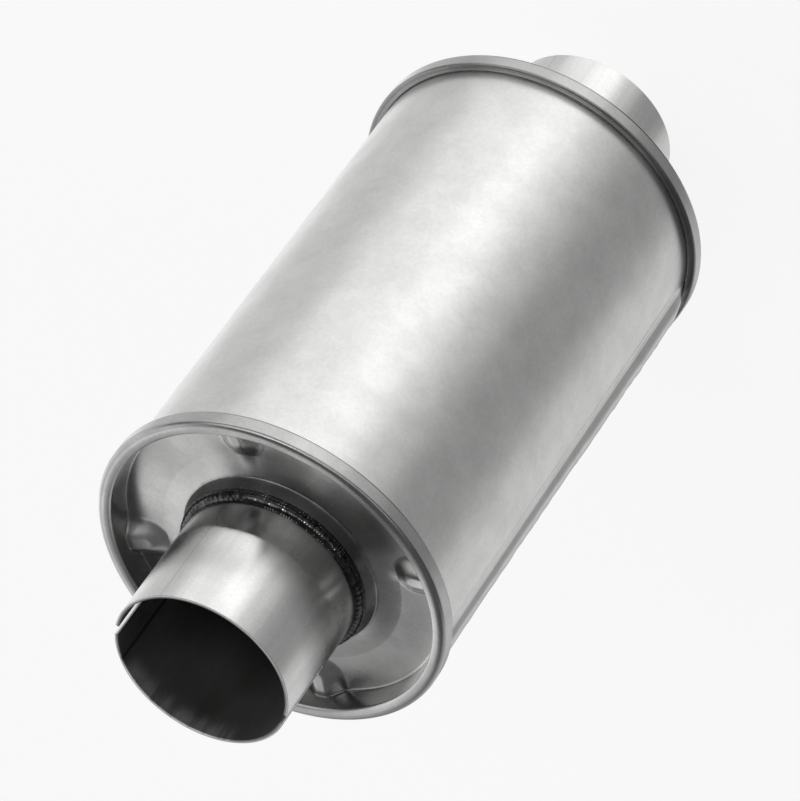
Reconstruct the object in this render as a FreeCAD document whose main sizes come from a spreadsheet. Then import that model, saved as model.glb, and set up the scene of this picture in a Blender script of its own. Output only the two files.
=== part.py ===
import FreeCAD, Part
import math
import os
import re

import Sketcher

# A round straight-through muffler. +Z runs along the axis from the rear neck to the front neck.
# The origin is the centre of the rear neck's end face, on which the muffler stands.
# Angles about the axis start at the -Y side and turn towards +X.

V = FreeCAD.Vector
doc = FreeCAD.newDocument("muffler")

# Driving sizes, in millimetres and degrees
SIZES = [
    ("body_length", 212.3, "over both rolled rims"),
    ("front_reach", 48.8, "neck standing out past the front rim"),
    ("rear_reach", 46.4, "neck standing out past the rear rim"),
    ("shell_radius", 63.8, "outside of the wrapped shell"),
    ("shell_sheet", 0.8, "shell sheet thickness"),
    ("seat_gap", 0.05, "clearance between pressed sheets"),
    ("rim_stand", 3.5, "rolled rims proud of the shell"),
    ("rim_depth", 6.8, "rim top to the end of its curl"),
    ("rim_round", 1.8, "outer corner of the rim"),
    ("rim_inner_round", 1.5, "inner corner of the rim"),
    ("curl_lip", 0.9, "thickness of the curled edge"),
    ("hook_depth", 3.4, "shell hook folded down inside the rim"),
    ("hook_gap", 0.1, "clearance round the shell hook"),
    ("head_sheet", 1.0, "head sheet thickness"),
    ("head_recess", 10.2, "rim top to the flat of the head"),
    ("wall_lean", 0.55, "foot of the rim's inner wall inside its top"),
    ("foot_round", 0.9, "corner between flat and wall"),
    ("cone_width", 8.7, "cone between the flat and the crease"),
    ("cone_round", 24.0, "hollow of the cone up to the crease"),
    ("crease_stand", 3.0, "crease outside the collar's lip"),
    ("crease_drop", 8.35, "rim top to the crease"),
    ("collar_drop", 1.9, "rim top to the collar's lip"),
    ("collar_gap", 0.15, "clearance between collar and neck"),
    ("dimple_count", 4, "raised dimples pressed in each head"),
    ("dimple_radius", 8.0, "dimple in plan"),
    ("dimple_height", 3.4, "top of a dimple above the flat"),
    ("dimple_inset", 7.5, "dimple's centre inside the wall's foot"),
    ("dimple_trim", 1.2, "straight side of a dimple's hollow behind the flat"),
    ("dimple_angle", 40.5, "first dimple"),
    ("neck_bore", 63.7, "inside diameter of a neck"),
    ("neck_wall", 1.3, "neck wall thickness"),
    ("neck_tail", 22.0, "neck inside the head's flat"),
    ("slot_width", 4.4, "clamp slot in the front neck"),
    ("slot_length", 27.0, "clamp slot in the front neck"),
    ("slot_end_ease", 0.3, "slot's end arc wider than half the slot"),
    ("slot_left", 107.0, "angle of one slot"),
    ("slot_right", 278.0, "angle of the other slot"),
    ("bead_rise", 2.1, "weld bead up the neck from the lip"),
    ("bead_foot", 2.3, "weld bead down the collar from the lip"),
    ("bead_bulge", 1.3, "weld bead out from its chord"),
    ("seam_angle", 73.5, "middle of the lock seam, behind the -Y side"),
    ("seam_width", 14.0, "lock seam across its ridge"),
    ("seam_height", 1.9, "ridge above the shell"),
    ("seam_fold", 0.25, "open fold line under the ridge's flap"),
    ("seam_flap", 0.8, "flap above the fold line"),
    ("seam_hem", 3.0, "closed hem of the flap"),
    ("seam_round", 0.5, "rounded edges of the ridge"),
    ("seam_end_gap", 0.3, "ridge short of each rim"),
    ("wrap_sheet", 0.6, "inner wrap thickness"),
    ("wrap_gap", 0.1, "clearance of the inner wrap in the shell"),
    ("wrap_joint", 3.0, "open joint of the inner wrap"),
    ("wrap_short", 3.0, "inner wrap short of each head"),
    ("core_gap", 0.1, "clearance of the core tube over a neck"),
    ("core_wall", 1.2, "core tube wall"),
    ("core_lap", 14.0, "core tube over each neck"),
    ("hole_size", 6.0, "perforation in the core tube"),
    ("middle_rings", 7, "rings of perforations between the baffles"),
    ("hole_pitch", 12.0, "ring to ring, between the baffles"),
    ("end_pitch", 11.0, "ring to ring, between a neck and a baffle"),
    ("end_margin", 6.0, "first ring past a neck's inner end"),
    ("ring_holes", 10, "perforations in a ring"),
    ("baffle_sheet", 1.0, "baffle thickness"),
    ("baffle_inset", 50.0, "baffle behind the flat of its head"),
    ("baffle_flange", 8.0, "outer flange of a baffle"),
    ("baffle_collar", 5.0, "inner collar of a baffle"),
    ("baffle_gap", 0.1, "clearance of a baffle at both edges"),
    ("baffle_round", 1.6, "bends of a baffle"),
    ("vent_size", 11.0, "vent hole in a baffle"),
    ("vent_count", 8, "vent holes in a baffle"),
    ("tack_length", 20.0, "angle that one tack weld spans"),
    ("tack_leg", 1.1, "leg of a tack weld"),
    ("tack_count", 4, "tack welds in a group"),
    ("packing_gap", 0.3, "clearance round the packing"),
    ("wool_thickness", 2.4, "steel wool round the core"),
    ("wool_gap", 0.1, "clearance of the wool on the core"),
    ("wire_size", 1.0, "tie wire"),
    ("wire_count", 4, "tie wires round the wool"),
    ("wire_margin", 10.0, "end wires from the wool's ends"),
]

sheet = doc.addObject("Spreadsheet::Sheet", "Sizes")
for row, (alias, number, note) in enumerate(SIZES, start=1):
    sheet.set(f"A{row}", alias)
    sheet.set(f"B{row}", str(number))
    sheet.setAlias(f"B{row}", alias)
    sheet.set(f"C{row}", note)
doc.recompute()

# Sizes that several pieces share, worked out from the driving ones
NECK_RADIUS = "(neck_bore / 2 + neck_wall)"
SHELL_BORE = "(shell_radius - shell_sheet)"
WALL_BACK = f"({SHELL_BORE} - seat_gap)"
WALL_FACE = f"({WALL_BACK} - head_sheet)"
WALL_FOOT = f"({WALL_FACE} - wall_lean)"
RIM_RADIUS = "(shell_radius + rim_stand)"
LIP_BACK = f"({NECK_RADIUS} + collar_gap)"
LIP_FACE = f"({LIP_BACK} + head_sheet)"
CREASE_RADIUS = f"({LIP_FACE} + crease_stand)"
FLAT_RADIUS = f"({CREASE_RADIUS} + cone_width)"
CORE_BORE = f"({NECK_RADIUS} + core_gap)"
CORE_RADIUS = f"({CORE_BORE} + core_wall)"
WRAP_BORE = f"({SHELL_BORE} - wrap_gap - wrap_sheet)"
WOOL_RADIUS = f"({CORE_RADIUS} + wool_gap + wool_thickness)"
FRONT_TOP = "(rear_reach + body_length)"
NECK_INNER_END = "(head_recess + neck_tail)"
CORE_FOOT = f"(rear_reach + {NECK_INNER_END} - core_lap)"
CORE_TOP = f"({FRONT_TOP} - {NECK_INNER_END} + core_lap)"
REAR_BAFFLE = "(rear_reach + head_recess + baffle_inset)"
FRONT_BAFFLE = f"({FRONT_TOP} - head_recess - baffle_inset)"


def formula(text):
    """Put the sheet's name before every size named in the text."""
    return re.sub(r"[a-z]+(?:_[a-z]+)+", lambda found: "Sizes." + found.group(0), text)


def value(text):
    """Number that a formula gives now."""
    result = sheet.evalExpression(formula(text))
    return float(getattr(result, "Value", result))


def bind(item, name, text):
    """Tie one property of an object to the sheet."""
    item.setExpression(name, formula(text))


def origin_feature(body, role):
    """Plane or axis of a body's own origin."""
    return next(item for item in body.Origin.OriginFeatures if item.Role == role)


def new_body(label):
    """Empty body under the name of its piece."""
    return doc.addObject("PartDesign::Body", label)


def attach(sketch, body, plane="XZ_Plane"):
    """Lay a sketch on one of its body's origin planes."""
    sketch.AttachmentSupport = (origin_feature(body, plane), [""])
    sketch.MapMode = "FlatFace"


def arc_between(start, end, radius, turn):
    """Arc under half a circle from start to end, turning left for +1 and right for -1."""
    half = (end - start) * 0.5
    rise = math.sqrt(max(radius * radius - half.Length * half.Length, 0.0))
    left = V(-half.y, half.x, 0).normalize()
    centre = start + half + left * (rise * turn)
    first, last = (start, end) if turn > 0 else (end, start)
    from_angle = math.atan2(first.y - centre.y, first.x - centre.x)
    to_angle = math.atan2(last.y - centre.y, last.x - centre.x)
    return Part.ArcOfCircle(Part.Circle(centre, V(0, 0, 1), radius), from_angle, to_angle)


def profile(body, name, corners, plane="XZ_Plane"):
    """Closed outline in a body.

    Each corner is (across, up) or (across, up, arc radius, turn), where the arc runs on to the
    next corner. Every number is a formula, and the sketch keeps it as a constraint.
    """
    sketch = body.newObject("Sketcher::SketchObject", name)
    attach(sketch, body, plane)
    points = [V(value(corner[0]), value(corner[1]), 0) for corner in corners]
    starts = []
    for index, corner in enumerate(corners):
        start, end = points[index], points[(index + 1) % len(points)]
        if len(corner) == 4:
            geometry = arc_between(start, end, value(corner[2]), corner[3])
            starts.append((1, 2) if corner[3] > 0 else (2, 1))
        else:
            geometry = Part.LineSegment(start, end)
            starts.append((1, 2))
        sketch.addGeometry(geometry, False)
    for index, corner in enumerate(corners):
        following = (index + 1) % len(corners)
        joint = Sketcher.Constraint("Coincident", index, starts[index][1], following, starts[following][0])
        sketch.addConstraint(joint)
    for index, corner in enumerate(corners):
        for kind, tag, text in (("DistanceX", "across", corner[0]), ("DistanceY", "up", corner[1])):
            place = Sketcher.Constraint(kind, -1, 1, index, starts[index][0], value(text))
            number = sketch.addConstraint(place)
            sketch.renameConstraint(number, f"{tag}_{index}")
            bind(sketch, f"Constraints.{tag}_{index}", text)
        if len(corner) == 4:
            number = sketch.addConstraint(Sketcher.Constraint("Radius", index, value(corner[2])))
            sketch.renameConstraint(number, f"arc_{index}")
            bind(sketch, f"Constraints.arc_{index}", corner[2])
    return sketch


def turned(body, name, corners, angle="360"):
    """Outline turned about the body's own axis."""
    sketch = profile(body, name + "_outline", corners)
    solid = body.newObject("PartDesign::Revolution", name)
    solid.Profile = sketch
    solid.ReferenceAxis = (sketch, ["V_Axis"])
    bind(solid, "Angle", angle)
    sketch.Visibility = False
    return solid, sketch


def ring_corners(inner, outer, low, high):
    """Square-edged ring."""
    return [(inner, low), (outer, low), (outer, high), (inner, high)]


def polar(body, feature, count):
    """Repeat a feature round the body's axis."""
    pattern = body.newObject("PartDesign::PolarPattern", feature.Name + "_pattern")
    pattern.Originals = [feature]
    pattern.Axis = (origin_feature(body, "Z_Axis"), [""])
    pattern.Angle = 360
    bind(pattern, "Occurrences", count)
    body.Tip = pattern
    return pattern


def place_end(item, end, angle="0"):
    """Stand an end's piece on its rim top, facing outwards and turned about the axis."""
    turn = FreeCAD.Rotation(V(0, 0, 1), value(angle))
    if end == "rear":
        turn = FreeCAD.Rotation(V(1, 0, 0), 180).multiply(turn)
    item.Placement = FreeCAD.Placement(V(0, 0, 0), turn)
    bind(item, "Placement.Base.z", FRONT_TOP if end == "front" else "rear_reach")


# Shell with a hooked edge at each end and the folded lock seam along one side
def build_outer_shell():
    body = new_body("outer_shell")
    hook_face = f"({RIM_RADIUS} - head_sheet - hook_gap)"
    hook_back = f"({hook_face} - shell_sheet)"
    roof = f"({FRONT_TOP} - head_sheet - hook_gap)"
    floor = "(rear_reach + head_sheet + hook_gap)"
    turned(body, "shell_wall", [
        (SHELL_BORE, floor),
        (hook_face, floor),
        (hook_face, f"{floor} + hook_depth"),
        (hook_back, f"{floor} + hook_depth"),
        (hook_back, f"{floor} + shell_sheet"),
        ("shell_radius", f"{floor} + shell_sheet"),
        ("shell_radius", f"{roof} - shell_sheet"),
        (hook_back, f"{roof} - shell_sheet"),
        (hook_back, f"{roof} - hook_depth"),
        (hook_face, f"{roof} - hook_depth"),
        (hook_face, roof),
        (SHELL_BORE, roof),
    ])
    low = "(rear_reach + rim_depth + seam_end_gap)"
    high = f"({FRONT_TOP} - rim_depth - seam_end_gap)"
    ridge_top = "(shell_radius + seam_height)"
    sweep = "seam_width / shell_radius * 180 / pi"
    hem = "seam_hem / shell_radius * 180 / pi"
    ridge, _ = turned(body, "seam_ridge",
                      ring_corners("shell_radius - shell_sheet / 2", ridge_top, low, high), sweep)
    doc.recompute()
    rounds = body.newObject("PartDesign::Fillet", "seam_rounds")
    rounds.Base = (ridge, long_edges(ridge.Shape, value(ridge_top), value(f"{high} - {low}")))
    bind(rounds, "Radius", "seam_round")
    doc.recompute()
    outline = profile(body, "seam_fold_outline", ring_corners(
        f"{ridge_top} - seam_flap - seam_fold", f"{ridge_top} - seam_flap", low, high))
    outline.AttachmentOffset = FreeCAD.Placement(V(0, 0, 0), FreeCAD.Rotation(V(0, 1, 0), 1))
    bind(outline, "AttachmentOffset.Rotation.Angle", hem)
    fold = body.newObject("PartDesign::Groove", "seam_fold_line")
    fold.Profile = outline
    fold.ReferenceAxis = (outline, ["V_Axis"])
    bind(fold, "Angle", sweep)
    start = value(f"-90 - seam_angle - {sweep} / 2")
    body.Placement = FreeCAD.Placement(V(0, 0, 0), FreeCAD.Rotation(V(0, 0, 1), start))
    return body


def long_edges(shape, radius, length):
    """Names of the upright edges of one length at one distance from the axis."""
    names = []
    for number, edge in enumerate(shape.Edges, start=1):
        if abs(edge.Length - length) > 0.01:
            continue
        if all(abs(math.hypot(vertex.X, vertex.Y) - radius) < 0.01 for vertex in edge.Vertexes):
            names.append(f"Edge{number}")
    return names


# Head pressed from one disc: collar, cone, flat, inner wall and the rim curled over the shell's hook
def build_head(end):
    body = new_body(f"{end}_head")
    turned(body, f"{end}_pressing", [
        (LIP_BACK, "-collar_drop"),
        (f"{CREASE_RADIUS} - head_sheet", "-crease_drop - head_sheet", "cone_round + head_sheet", 1),
        (FLAT_RADIUS, "-head_recess - head_sheet"),
        (f"{WALL_FOOT} - foot_round", "-head_recess - head_sheet", "foot_round + head_sheet", 1),
        (f"{WALL_FOOT} + head_sheet", "-head_recess + foot_round"),
        (WALL_BACK, "-head_sheet - hook_gap - shell_sheet"),
        (WALL_BACK, "-head_sheet"),
        (f"{RIM_RADIUS} - head_sheet", "-head_sheet"),
        (f"{RIM_RADIUS} - head_sheet", "-rim_depth + curl_lip"),
        ("shell_radius + seat_gap", "-rim_depth + curl_lip"),
        ("shell_radius + seat_gap", "-rim_depth"),
        (f"{RIM_RADIUS} - curl_lip", "-rim_depth", "curl_lip", 1),
        (RIM_RADIUS, "-rim_depth + curl_lip"),
        (RIM_RADIUS, "-rim_round", "rim_round", 1),
        (f"{RIM_RADIUS} - rim_round", "0"),
        (f"{WALL_FACE} + rim_inner_round", "0", "rim_inner_round", 1),
        (WALL_FACE, "-rim_inner_round"),
        (WALL_FOOT, "-head_recess + foot_round", "foot_round", -1),
        (f"{WALL_FOOT} - foot_round", "-head_recess"),
        (FLAT_RADIUS, "-head_recess", "cone_round", -1),
        (CREASE_RADIUS, "-crease_drop"),
        (LIP_FACE, "-collar_drop"),
    ])
    boss_face = "(-head_recess - head_sheet / 2)"
    boss = dimple_feature(body, f"{end}_dimple_boss", "PartDesign::Revolution", [
        ("0", "-head_recess + dimple_height"),
        ("0", boss_face),
        ("-dimple_radius", boss_face, cap_round("dimple_radius", "(dimple_height + head_sheet / 2)"), -1),
    ])
    back = "(-head_recess - head_sheet)"
    hollow_radius = "(dimple_radius - head_sheet)"
    pocket = dimple_feature(body, f"{end}_dimple_hollow", "PartDesign::Groove", [
        ("0", f"{back} + dimple_height"),
        ("0", f"{back} - dimple_trim"),
        (f"-{hollow_radius}", f"{back} - dimple_trim"),
        (f"-{hollow_radius}", back, cap_round(hollow_radius, "dimple_height"), -1),
    ])
    pattern = polar(body, boss, "dimple_count")
    pattern.Originals = [boss, pocket]
    place_end(body, end, "dimple_angle")
    return body


def cap_round(radius, depth):
    """Radius of the cap whose edge has this radius and whose middle is this deep."""
    return f"({radius} * {radius} + {depth} * {depth}) / (2 * {depth})"


def dimple_feature(body, name, kind, corners):
    """Round dome or hollow beside the foot of the rim's inner wall."""
    outline = profile(body, name + "_outline", corners)
    bind(outline, "AttachmentOffset.Base.x", f"{WALL_FOOT} - dimple_inset")
    feature = body.newObject(kind, name)
    feature.Profile = outline
    feature.ReferenceAxis = (outline, ["V_Axis"])
    return feature


# Neck that slips over a pipe, with two clamp slots in the front one
def build_neck(end):
    body = new_body(f"{end}_neck")
    mouth = f"{end}_reach"
    tube, _ = turned(body, f"{end}_neck_tube",
                     ring_corners("neck_bore / 2", NECK_RADIUS, f"-{NECK_INNER_END}", mouth))
    if end == "front":
        cut_slot(body, "left_slot", mouth, "slot_left", True)
        cut_slot(body, "right_slot", mouth, "slot_right - 180", False)
    place_end(body, end)
    return body


def cut_slot(body, name, mouth, angle, outward):
    """Round-ended slot through one side of a neck, open at the mouth."""
    half = "slot_width / 2"
    outline = profile(body, name + "_outline", [
        (f"-{half}", f"{mouth} + slot_width"),
        (f"-{half}", f"{mouth} - slot_length + {half}", f"{half} + slot_end_ease", 1),
        (half, f"{mouth} - slot_length + {half}"),
        (half, f"{mouth} + slot_width"),
    ])
    outline.AttachmentOffset = FreeCAD.Placement(V(0, 0, 0), FreeCAD.Rotation(V(0, 1, 0), 1))
    bind(outline, "AttachmentOffset.Rotation.Angle", angle)
    slot = body.newObject("PartDesign::Pocket", name)
    slot.Profile = outline
    bind(slot, "Length", f"2 * {NECK_RADIUS}")
    slot.Reversed = outward
    return slot


# Weld bead that closes the collar's lip against the neck
def build_neck_weld(end):
    body = new_body(f"{end}_neck_weld")
    lean = "(crease_stand / (crease_drop - collar_drop))"
    foot = f"({LIP_FACE} + {lean} * bead_foot)"
    chord = f"(({foot} - {NECK_RADIUS}) ^ 2 + (bead_rise + bead_foot) ^ 2)"
    turned(body, f"{end}_bead", [
        (NECK_RADIUS, "-collar_drop"),
        (LIP_FACE, "-collar_drop"),
        (foot, "-collar_drop - bead_foot", f"({chord} / 4 + bead_bulge ^ 2) / (2 * bead_bulge)", 1),
        (NECK_RADIUS, "-collar_drop + bead_rise"),
    ])
    place_end(body, end)
    return body


# Perforated core tube, which slides over both necks' inner ends and leaves the way through clear
def build_core_tube():
    whole = tube("core_blank", CORE_BORE, CORE_RADIUS, CORE_FOOT, CORE_TOP)
    punches = doc.addObject("Part::Feature", "core_punches")
    punches.Shape = Part.makeCompound(punch_shapes())
    cut = doc.addObject("Part::Cut", "core_tube")
    cut.Base, cut.Tool = whole, punches
    return cut


def ring_levels():
    """Level of every ring of perforations: two behind each neck and a row between the baffles."""
    middle = value(f"({FRONT_BAFFLE} + {REAR_BAFFLE}) / 2")
    count = int(value("middle_rings"))
    levels = [middle + (index - (count - 1) / 2) * value("hole_pitch") for index in range(count)]
    for step in (value("end_margin"), value("end_margin + end_pitch")):
        levels.append(value(f"rear_reach + {NECK_INNER_END}") + step)
        levels.append(value(f"{FRONT_TOP} - {NECK_INNER_END}") - step)
    return sorted(levels)


def punch_shapes():
    """Short round punches through the core's wall, each ring turned by half a step from the last."""
    count = int(value("ring_holes"))
    start = value(f"{CORE_RADIUS} - 2 * core_wall")
    shapes = []
    for ring, level in enumerate(ring_levels()):
        for index in range(count):
            angle = 2 * math.pi * (index + 0.5 * (ring % 2)) / count
            outward = V(math.cos(angle), math.sin(angle), 0)
            foot = outward * start + V(0, 0, level)
            shapes.append(Part.makeCylinder(value("hole_size / 2"), value("3 * core_wall"), foot, outward))
    return shapes


def circle_outline(body, name, plane, across, up, radius):
    """Sketch of one circle, placed and sized by formulas."""
    sketch = body.newObject("Sketcher::SketchObject", name)
    attach(sketch, body, plane)
    centre = V(value(across), value(up), 0)
    sketch.addGeometry(Part.Circle(centre, V(0, 0, 1), value(radius)), False)
    for tag, kind, text, which in (("across", "DistanceX", across, centre.x), ("up", "DistanceY", up, centre.y)):
        number = sketch.addConstraint(Sketcher.Constraint(kind, -1, 1, 0, 3, which))
        sketch.renameConstraint(number, tag)
        bind(sketch, f"Constraints.{tag}", text)
    number = sketch.addConstraint(Sketcher.Constraint("Radius", 0, value(radius)))
    sketch.renameConstraint(number, "radius")
    bind(sketch, "Constraints.radius", radius)
    return sketch


# Baffle that centres the core tube in the inner wrap, with vent holes
def build_baffle(end):
    body = new_body(f"{end}_baffle")
    inner = f"({CORE_RADIUS} + baffle_gap)"
    outer = f"({WRAP_BORE} - baffle_gap)"
    turned(body, f"{end}_baffle_pressing", [
        (inner, "baffle_collar"),
        (inner, "baffle_round - baffle_sheet", "baffle_round", 1),
        (f"{inner} + baffle_round", "-baffle_sheet"),
        (f"{outer} - baffle_sheet", "-baffle_sheet"),
        (f"{outer} - baffle_sheet", "-baffle_flange"),
        (outer, "-baffle_flange"),
        (outer, "-baffle_round", "baffle_round", 1),
        (f"{outer} - baffle_round", "0"),
        (f"{inner} + baffle_sheet", "0"),
        (f"{inner} + baffle_sheet", "baffle_collar"),
    ])
    vent_circle = f"({inner} + {outer}) / 2"
    outline = circle_outline(body, f"{end}_vent_outline", "XY_Plane", vent_circle, "0", "vent_size / 2")
    vent = body.newObject("PartDesign::Pocket", f"{end}_vent")
    vent.Profile = outline
    vent.Midplane = True
    bind(vent, "Length", "4 * baffle_sheet")
    polar(body, vent, "vent_count")
    place_baffle(body, end)
    return body


def place_baffle(item, end):
    """Stand a baffle's piece at its level, its collar towards its own end."""
    if end == "front":
        bind(item, "Placement.Base.z", FRONT_BAFFLE)
    else:
        item.Placement = FreeCAD.Placement(V(0, 0, 0), FreeCAD.Rotation(V(1, 0, 0), 180))
        bind(item, "Placement.Base.z", REAR_BAFFLE)


def build_tacks(label, radius, level, rise):
    """Ring of short fillet welds on a tube's outside, standing on one level."""
    body = new_body(label)
    first, _ = turned(body, label + "_first", [
        (radius, level),
        (f"{radius} + tack_leg", level),
        (radius, f"({level} + {rise} * tack_leg)"),
    ], "tack_length")
    polar(body, first, "tack_count")
    return body


def tube(label, inner, outer, low, high):
    """Plain tube from two cylinders."""
    solids = []
    for suffix, radius in (("outside", outer), ("inside", inner)):
        cylinder = doc.addObject("Part::Cylinder", f"{label}_{suffix}")
        bind(cylinder, "Radius", radius)
        bind(cylinder, "Height", f"{high} - {low}")
        bind(cylinder, "Placement.Base.z", low)
        solids.append(cylinder)
    cut = doc.addObject("Part::Cut", label)
    cut.Base, cut.Tool = solids
    return cut


# Second sheet inside the shell, with an open joint along it
def build_inner_wrap():
    low = "(rear_reach + head_recess + head_sheet + wrap_short)"
    high = f"({FRONT_TOP} - head_recess - head_sheet - wrap_short)"
    whole = tube("inner_wrap_tube", WRAP_BORE, f"{SHELL_BORE} - wrap_gap", low, high)
    joint = doc.addObject("Part::Box", "inner_wrap_joint")
    bind(joint, "Length", "wrap_joint")
    bind(joint, "Width", "shell_radius")
    bind(joint, "Height", f"{high} - {low}")
    bind(joint, "Placement.Base.x", "-wrap_joint / 2")
    bind(joint, "Placement.Base.z", low)
    cut = doc.addObject("Part::Cut", "inner_wrap")
    cut.Base, cut.Tool = whole, joint
    return cut


# Glass fibre packing: one roll behind each head and one between the baffles
def build_packing():
    behind = "(head_recess + head_sheet + packing_gap)"
    clear_collar = f"({CORE_RADIUS} + baffle_gap + baffle_sheet + packing_gap)"
    clear_wrap = f"({WRAP_BORE} - packing_gap)"
    clear_wires = f"({WOOL_RADIUS} + wire_size + packing_gap)"
    clear_flange = f"({WRAP_BORE} - baffle_gap - baffle_sheet - packing_gap)"
    return [
        tube("rear_packing", clear_collar, clear_wrap, f"(rear_reach + {behind})",
             f"({REAR_BAFFLE} - packing_gap)"),
        tube("middle_packing", clear_wires, clear_flange, f"({REAR_BAFFLE} + baffle_sheet + packing_gap)",
             f"({FRONT_BAFFLE} - baffle_sheet - packing_gap)"),
        tube("front_packing", clear_collar, clear_wrap, f"({FRONT_BAFFLE} + packing_gap)",
             f"({FRONT_TOP} - {behind})"),
    ]


# Steel wool round the perforations, held by wires
def build_wool():
    low = f"({REAR_BAFFLE} + baffle_sheet + packing_gap)"
    high = f"({FRONT_BAFFLE} - baffle_sheet - packing_gap)"
    wool = tube("steel_wool", f"{CORE_RADIUS} + wool_gap", WOOL_RADIUS, low, high)
    count = int(value("wire_count"))
    rings = []
    for index in range(count):
        wire = doc.addObject("Part::Torus", f"tie_wire_{index + 1}")
        bind(wire, "Radius1", f"{WOOL_RADIUS} + seat_gap + wire_size / 2")
        bind(wire, "Radius2", "wire_size / 2")
        step = f"({high} - {low} - 2 * wire_margin) / (wire_count - 1)"
        bind(wire, "Placement.Base.z", f"{low} + wire_margin + {index} * {step}")
        rings.append(wire)
    wires = doc.addObject("Part::Compound", "tie_wires")
    wires.Links = rings
    return [wool, wires]


def build_pieces():
    """Every piece of the muffler, from the outside in."""
    pieces = [build_outer_shell(), build_inner_wrap()]
    for end in ("front", "rear"):
        pieces += [build_head(end), build_neck(end), build_neck_weld(end), build_baffle(end)]
    pieces.append(build_core_tube())
    pieces.append(build_tacks("front_core_tacks", NECK_RADIUS, CORE_TOP, 1))
    pieces.append(build_tacks("rear_core_tacks", NECK_RADIUS, CORE_FOOT, -1))
    pieces.append(build_tacks("front_baffle_tacks", CORE_RADIUS, f"({FRONT_BAFFLE} + baffle_collar)", 1))
    pieces.append(build_tacks("rear_baffle_tacks", CORE_RADIUS, f"({REAR_BAFFLE} - baffle_collar)", -1))
    pieces += build_packing() + build_wool()
    return pieces


def check(pieces):
    """Stop on a failed object or a bad shape before anything is written."""
    for item in doc.Objects:
        bad = {"Invalid", "Error"} & set(item.State)
        if bad:
            raise RuntimeError(f"{item.Label} is {bad}")
    for piece in pieces:
        if piece.Shape.isNull() or not piece.Shape.isValid():
            raise RuntimeError(f"{piece.Label} has a bad shape")


pieces = build_pieces()
doc.recompute()
check(pieces)
os.makedirs("parts", exist_ok=True)
for piece in pieces:
    piece.Shape.exportStep(f"parts/{piece.Label}.step")
    solids = piece.Shape.Solids
    volume = sum(solid.Volume for solid in solids)
    print(f"{piece.Label}: {len(solids)} solids, {volume / 1000:.2f} cm3")
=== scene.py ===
import logging
import math
from dataclasses import dataclass
from enum import Enum

import bmesh
import bpy
from mathutils import Matrix, Vector, noise


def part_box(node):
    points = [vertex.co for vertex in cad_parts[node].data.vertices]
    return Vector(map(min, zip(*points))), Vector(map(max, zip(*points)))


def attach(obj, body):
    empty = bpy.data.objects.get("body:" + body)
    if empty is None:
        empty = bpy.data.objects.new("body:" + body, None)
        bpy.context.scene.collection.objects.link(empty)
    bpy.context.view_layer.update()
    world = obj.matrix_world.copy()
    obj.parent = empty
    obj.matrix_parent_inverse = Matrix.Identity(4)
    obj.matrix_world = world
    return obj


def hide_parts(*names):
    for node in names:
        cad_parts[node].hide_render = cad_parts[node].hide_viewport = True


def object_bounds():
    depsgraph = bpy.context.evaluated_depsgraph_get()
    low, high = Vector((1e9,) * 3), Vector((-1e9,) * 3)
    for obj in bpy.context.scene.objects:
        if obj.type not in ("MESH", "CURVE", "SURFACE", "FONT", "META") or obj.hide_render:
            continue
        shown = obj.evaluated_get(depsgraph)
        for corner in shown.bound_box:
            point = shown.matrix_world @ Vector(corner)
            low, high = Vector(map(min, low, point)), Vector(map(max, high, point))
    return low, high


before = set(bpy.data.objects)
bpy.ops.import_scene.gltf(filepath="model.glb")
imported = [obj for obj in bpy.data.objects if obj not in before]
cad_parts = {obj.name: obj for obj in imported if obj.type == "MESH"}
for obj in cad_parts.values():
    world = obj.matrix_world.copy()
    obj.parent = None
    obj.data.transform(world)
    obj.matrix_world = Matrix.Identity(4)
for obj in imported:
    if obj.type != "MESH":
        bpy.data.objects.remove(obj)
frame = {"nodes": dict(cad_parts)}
CAD_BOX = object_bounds()

# Looks of a round straight-through muffler, standing on its rear neck with +Z along its axis.
# Lengths below are in millimetres until a mesh is made, and meshes are in metres.
# Angles about the axis start at the -Y side and turn towards +X.

log = logging.getLogger("muffler")
Socket, Piece, Finish = bpy.types.NodeSocket, bpy.types.Object, bpy.types.Material
MM = 0.001
BODY = "root"


class End(Enum):
    """The two ends of the muffler, each with the sign of its outward direction."""

    FRONT = 1
    REAR = -1

    @property
    def word(self) -> str:
        """Lower-case name, as the CAD nodes use it."""
        return self.name.lower()


@dataclass(frozen=True)
class Levels:
    """Heights along the axis, read from the frame, in millimetres."""

    mouth: float
    front_rim: float
    rear_rim: float
    foot: float
    recess: float = 10.2
    tail: float = 22.0

    @classmethod
    def from_frame(cls) -> "Levels":
        """Read the ends of the necks and of the heads' rims.

        Returns:
            The four heights.
        """
        tops = [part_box(node)[1].z / MM for node in ("front_neck", "front_head")]
        feet = [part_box(node)[0].z / MM for node in ("rear_head", "rear_neck")]
        return cls(*tops, *feet)

    def rim(self, end: End) -> float:
        """Top of one end's rim."""
        return self.front_rim if end is End.FRONT else self.rear_rim

    def tip(self, end: End) -> float:
        """Open end of one neck."""
        return self.mouth if end is End.FRONT else self.foot

    def neck_end(self, end: End) -> float:
        """Inner end of one neck."""
        return self.rim(end) - end.value * (self.recess + self.tail)


def around(radius: float, angle: float, level: float) -> Vector:
    """Point from its place about the axis.

    Args:
        radius: Distance from the axis, in millimetres.
        angle: Degrees from the -Y side towards +X.
        level: Height, in millimetres.

    Returns:
        The point, in metres.
    """
    turn = math.radians(angle)
    return Vector((radius * math.sin(turn), -radius * math.cos(turn), level)) * MM


def smooth(value: float, low: float, high: float) -> float:
    """Smooth step from 0 at low to 1 at high."""
    share = min(max((value - low) / (high - low), 0.0), 1.0)
    return share * share * (3 - 2 * share)


def spread(low: float, high: float, count: int) -> list[float]:
    """Evenly spaced numbers, both ends included."""
    return [low + (high - low) * index / (count - 1) for index in range(count)]


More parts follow.
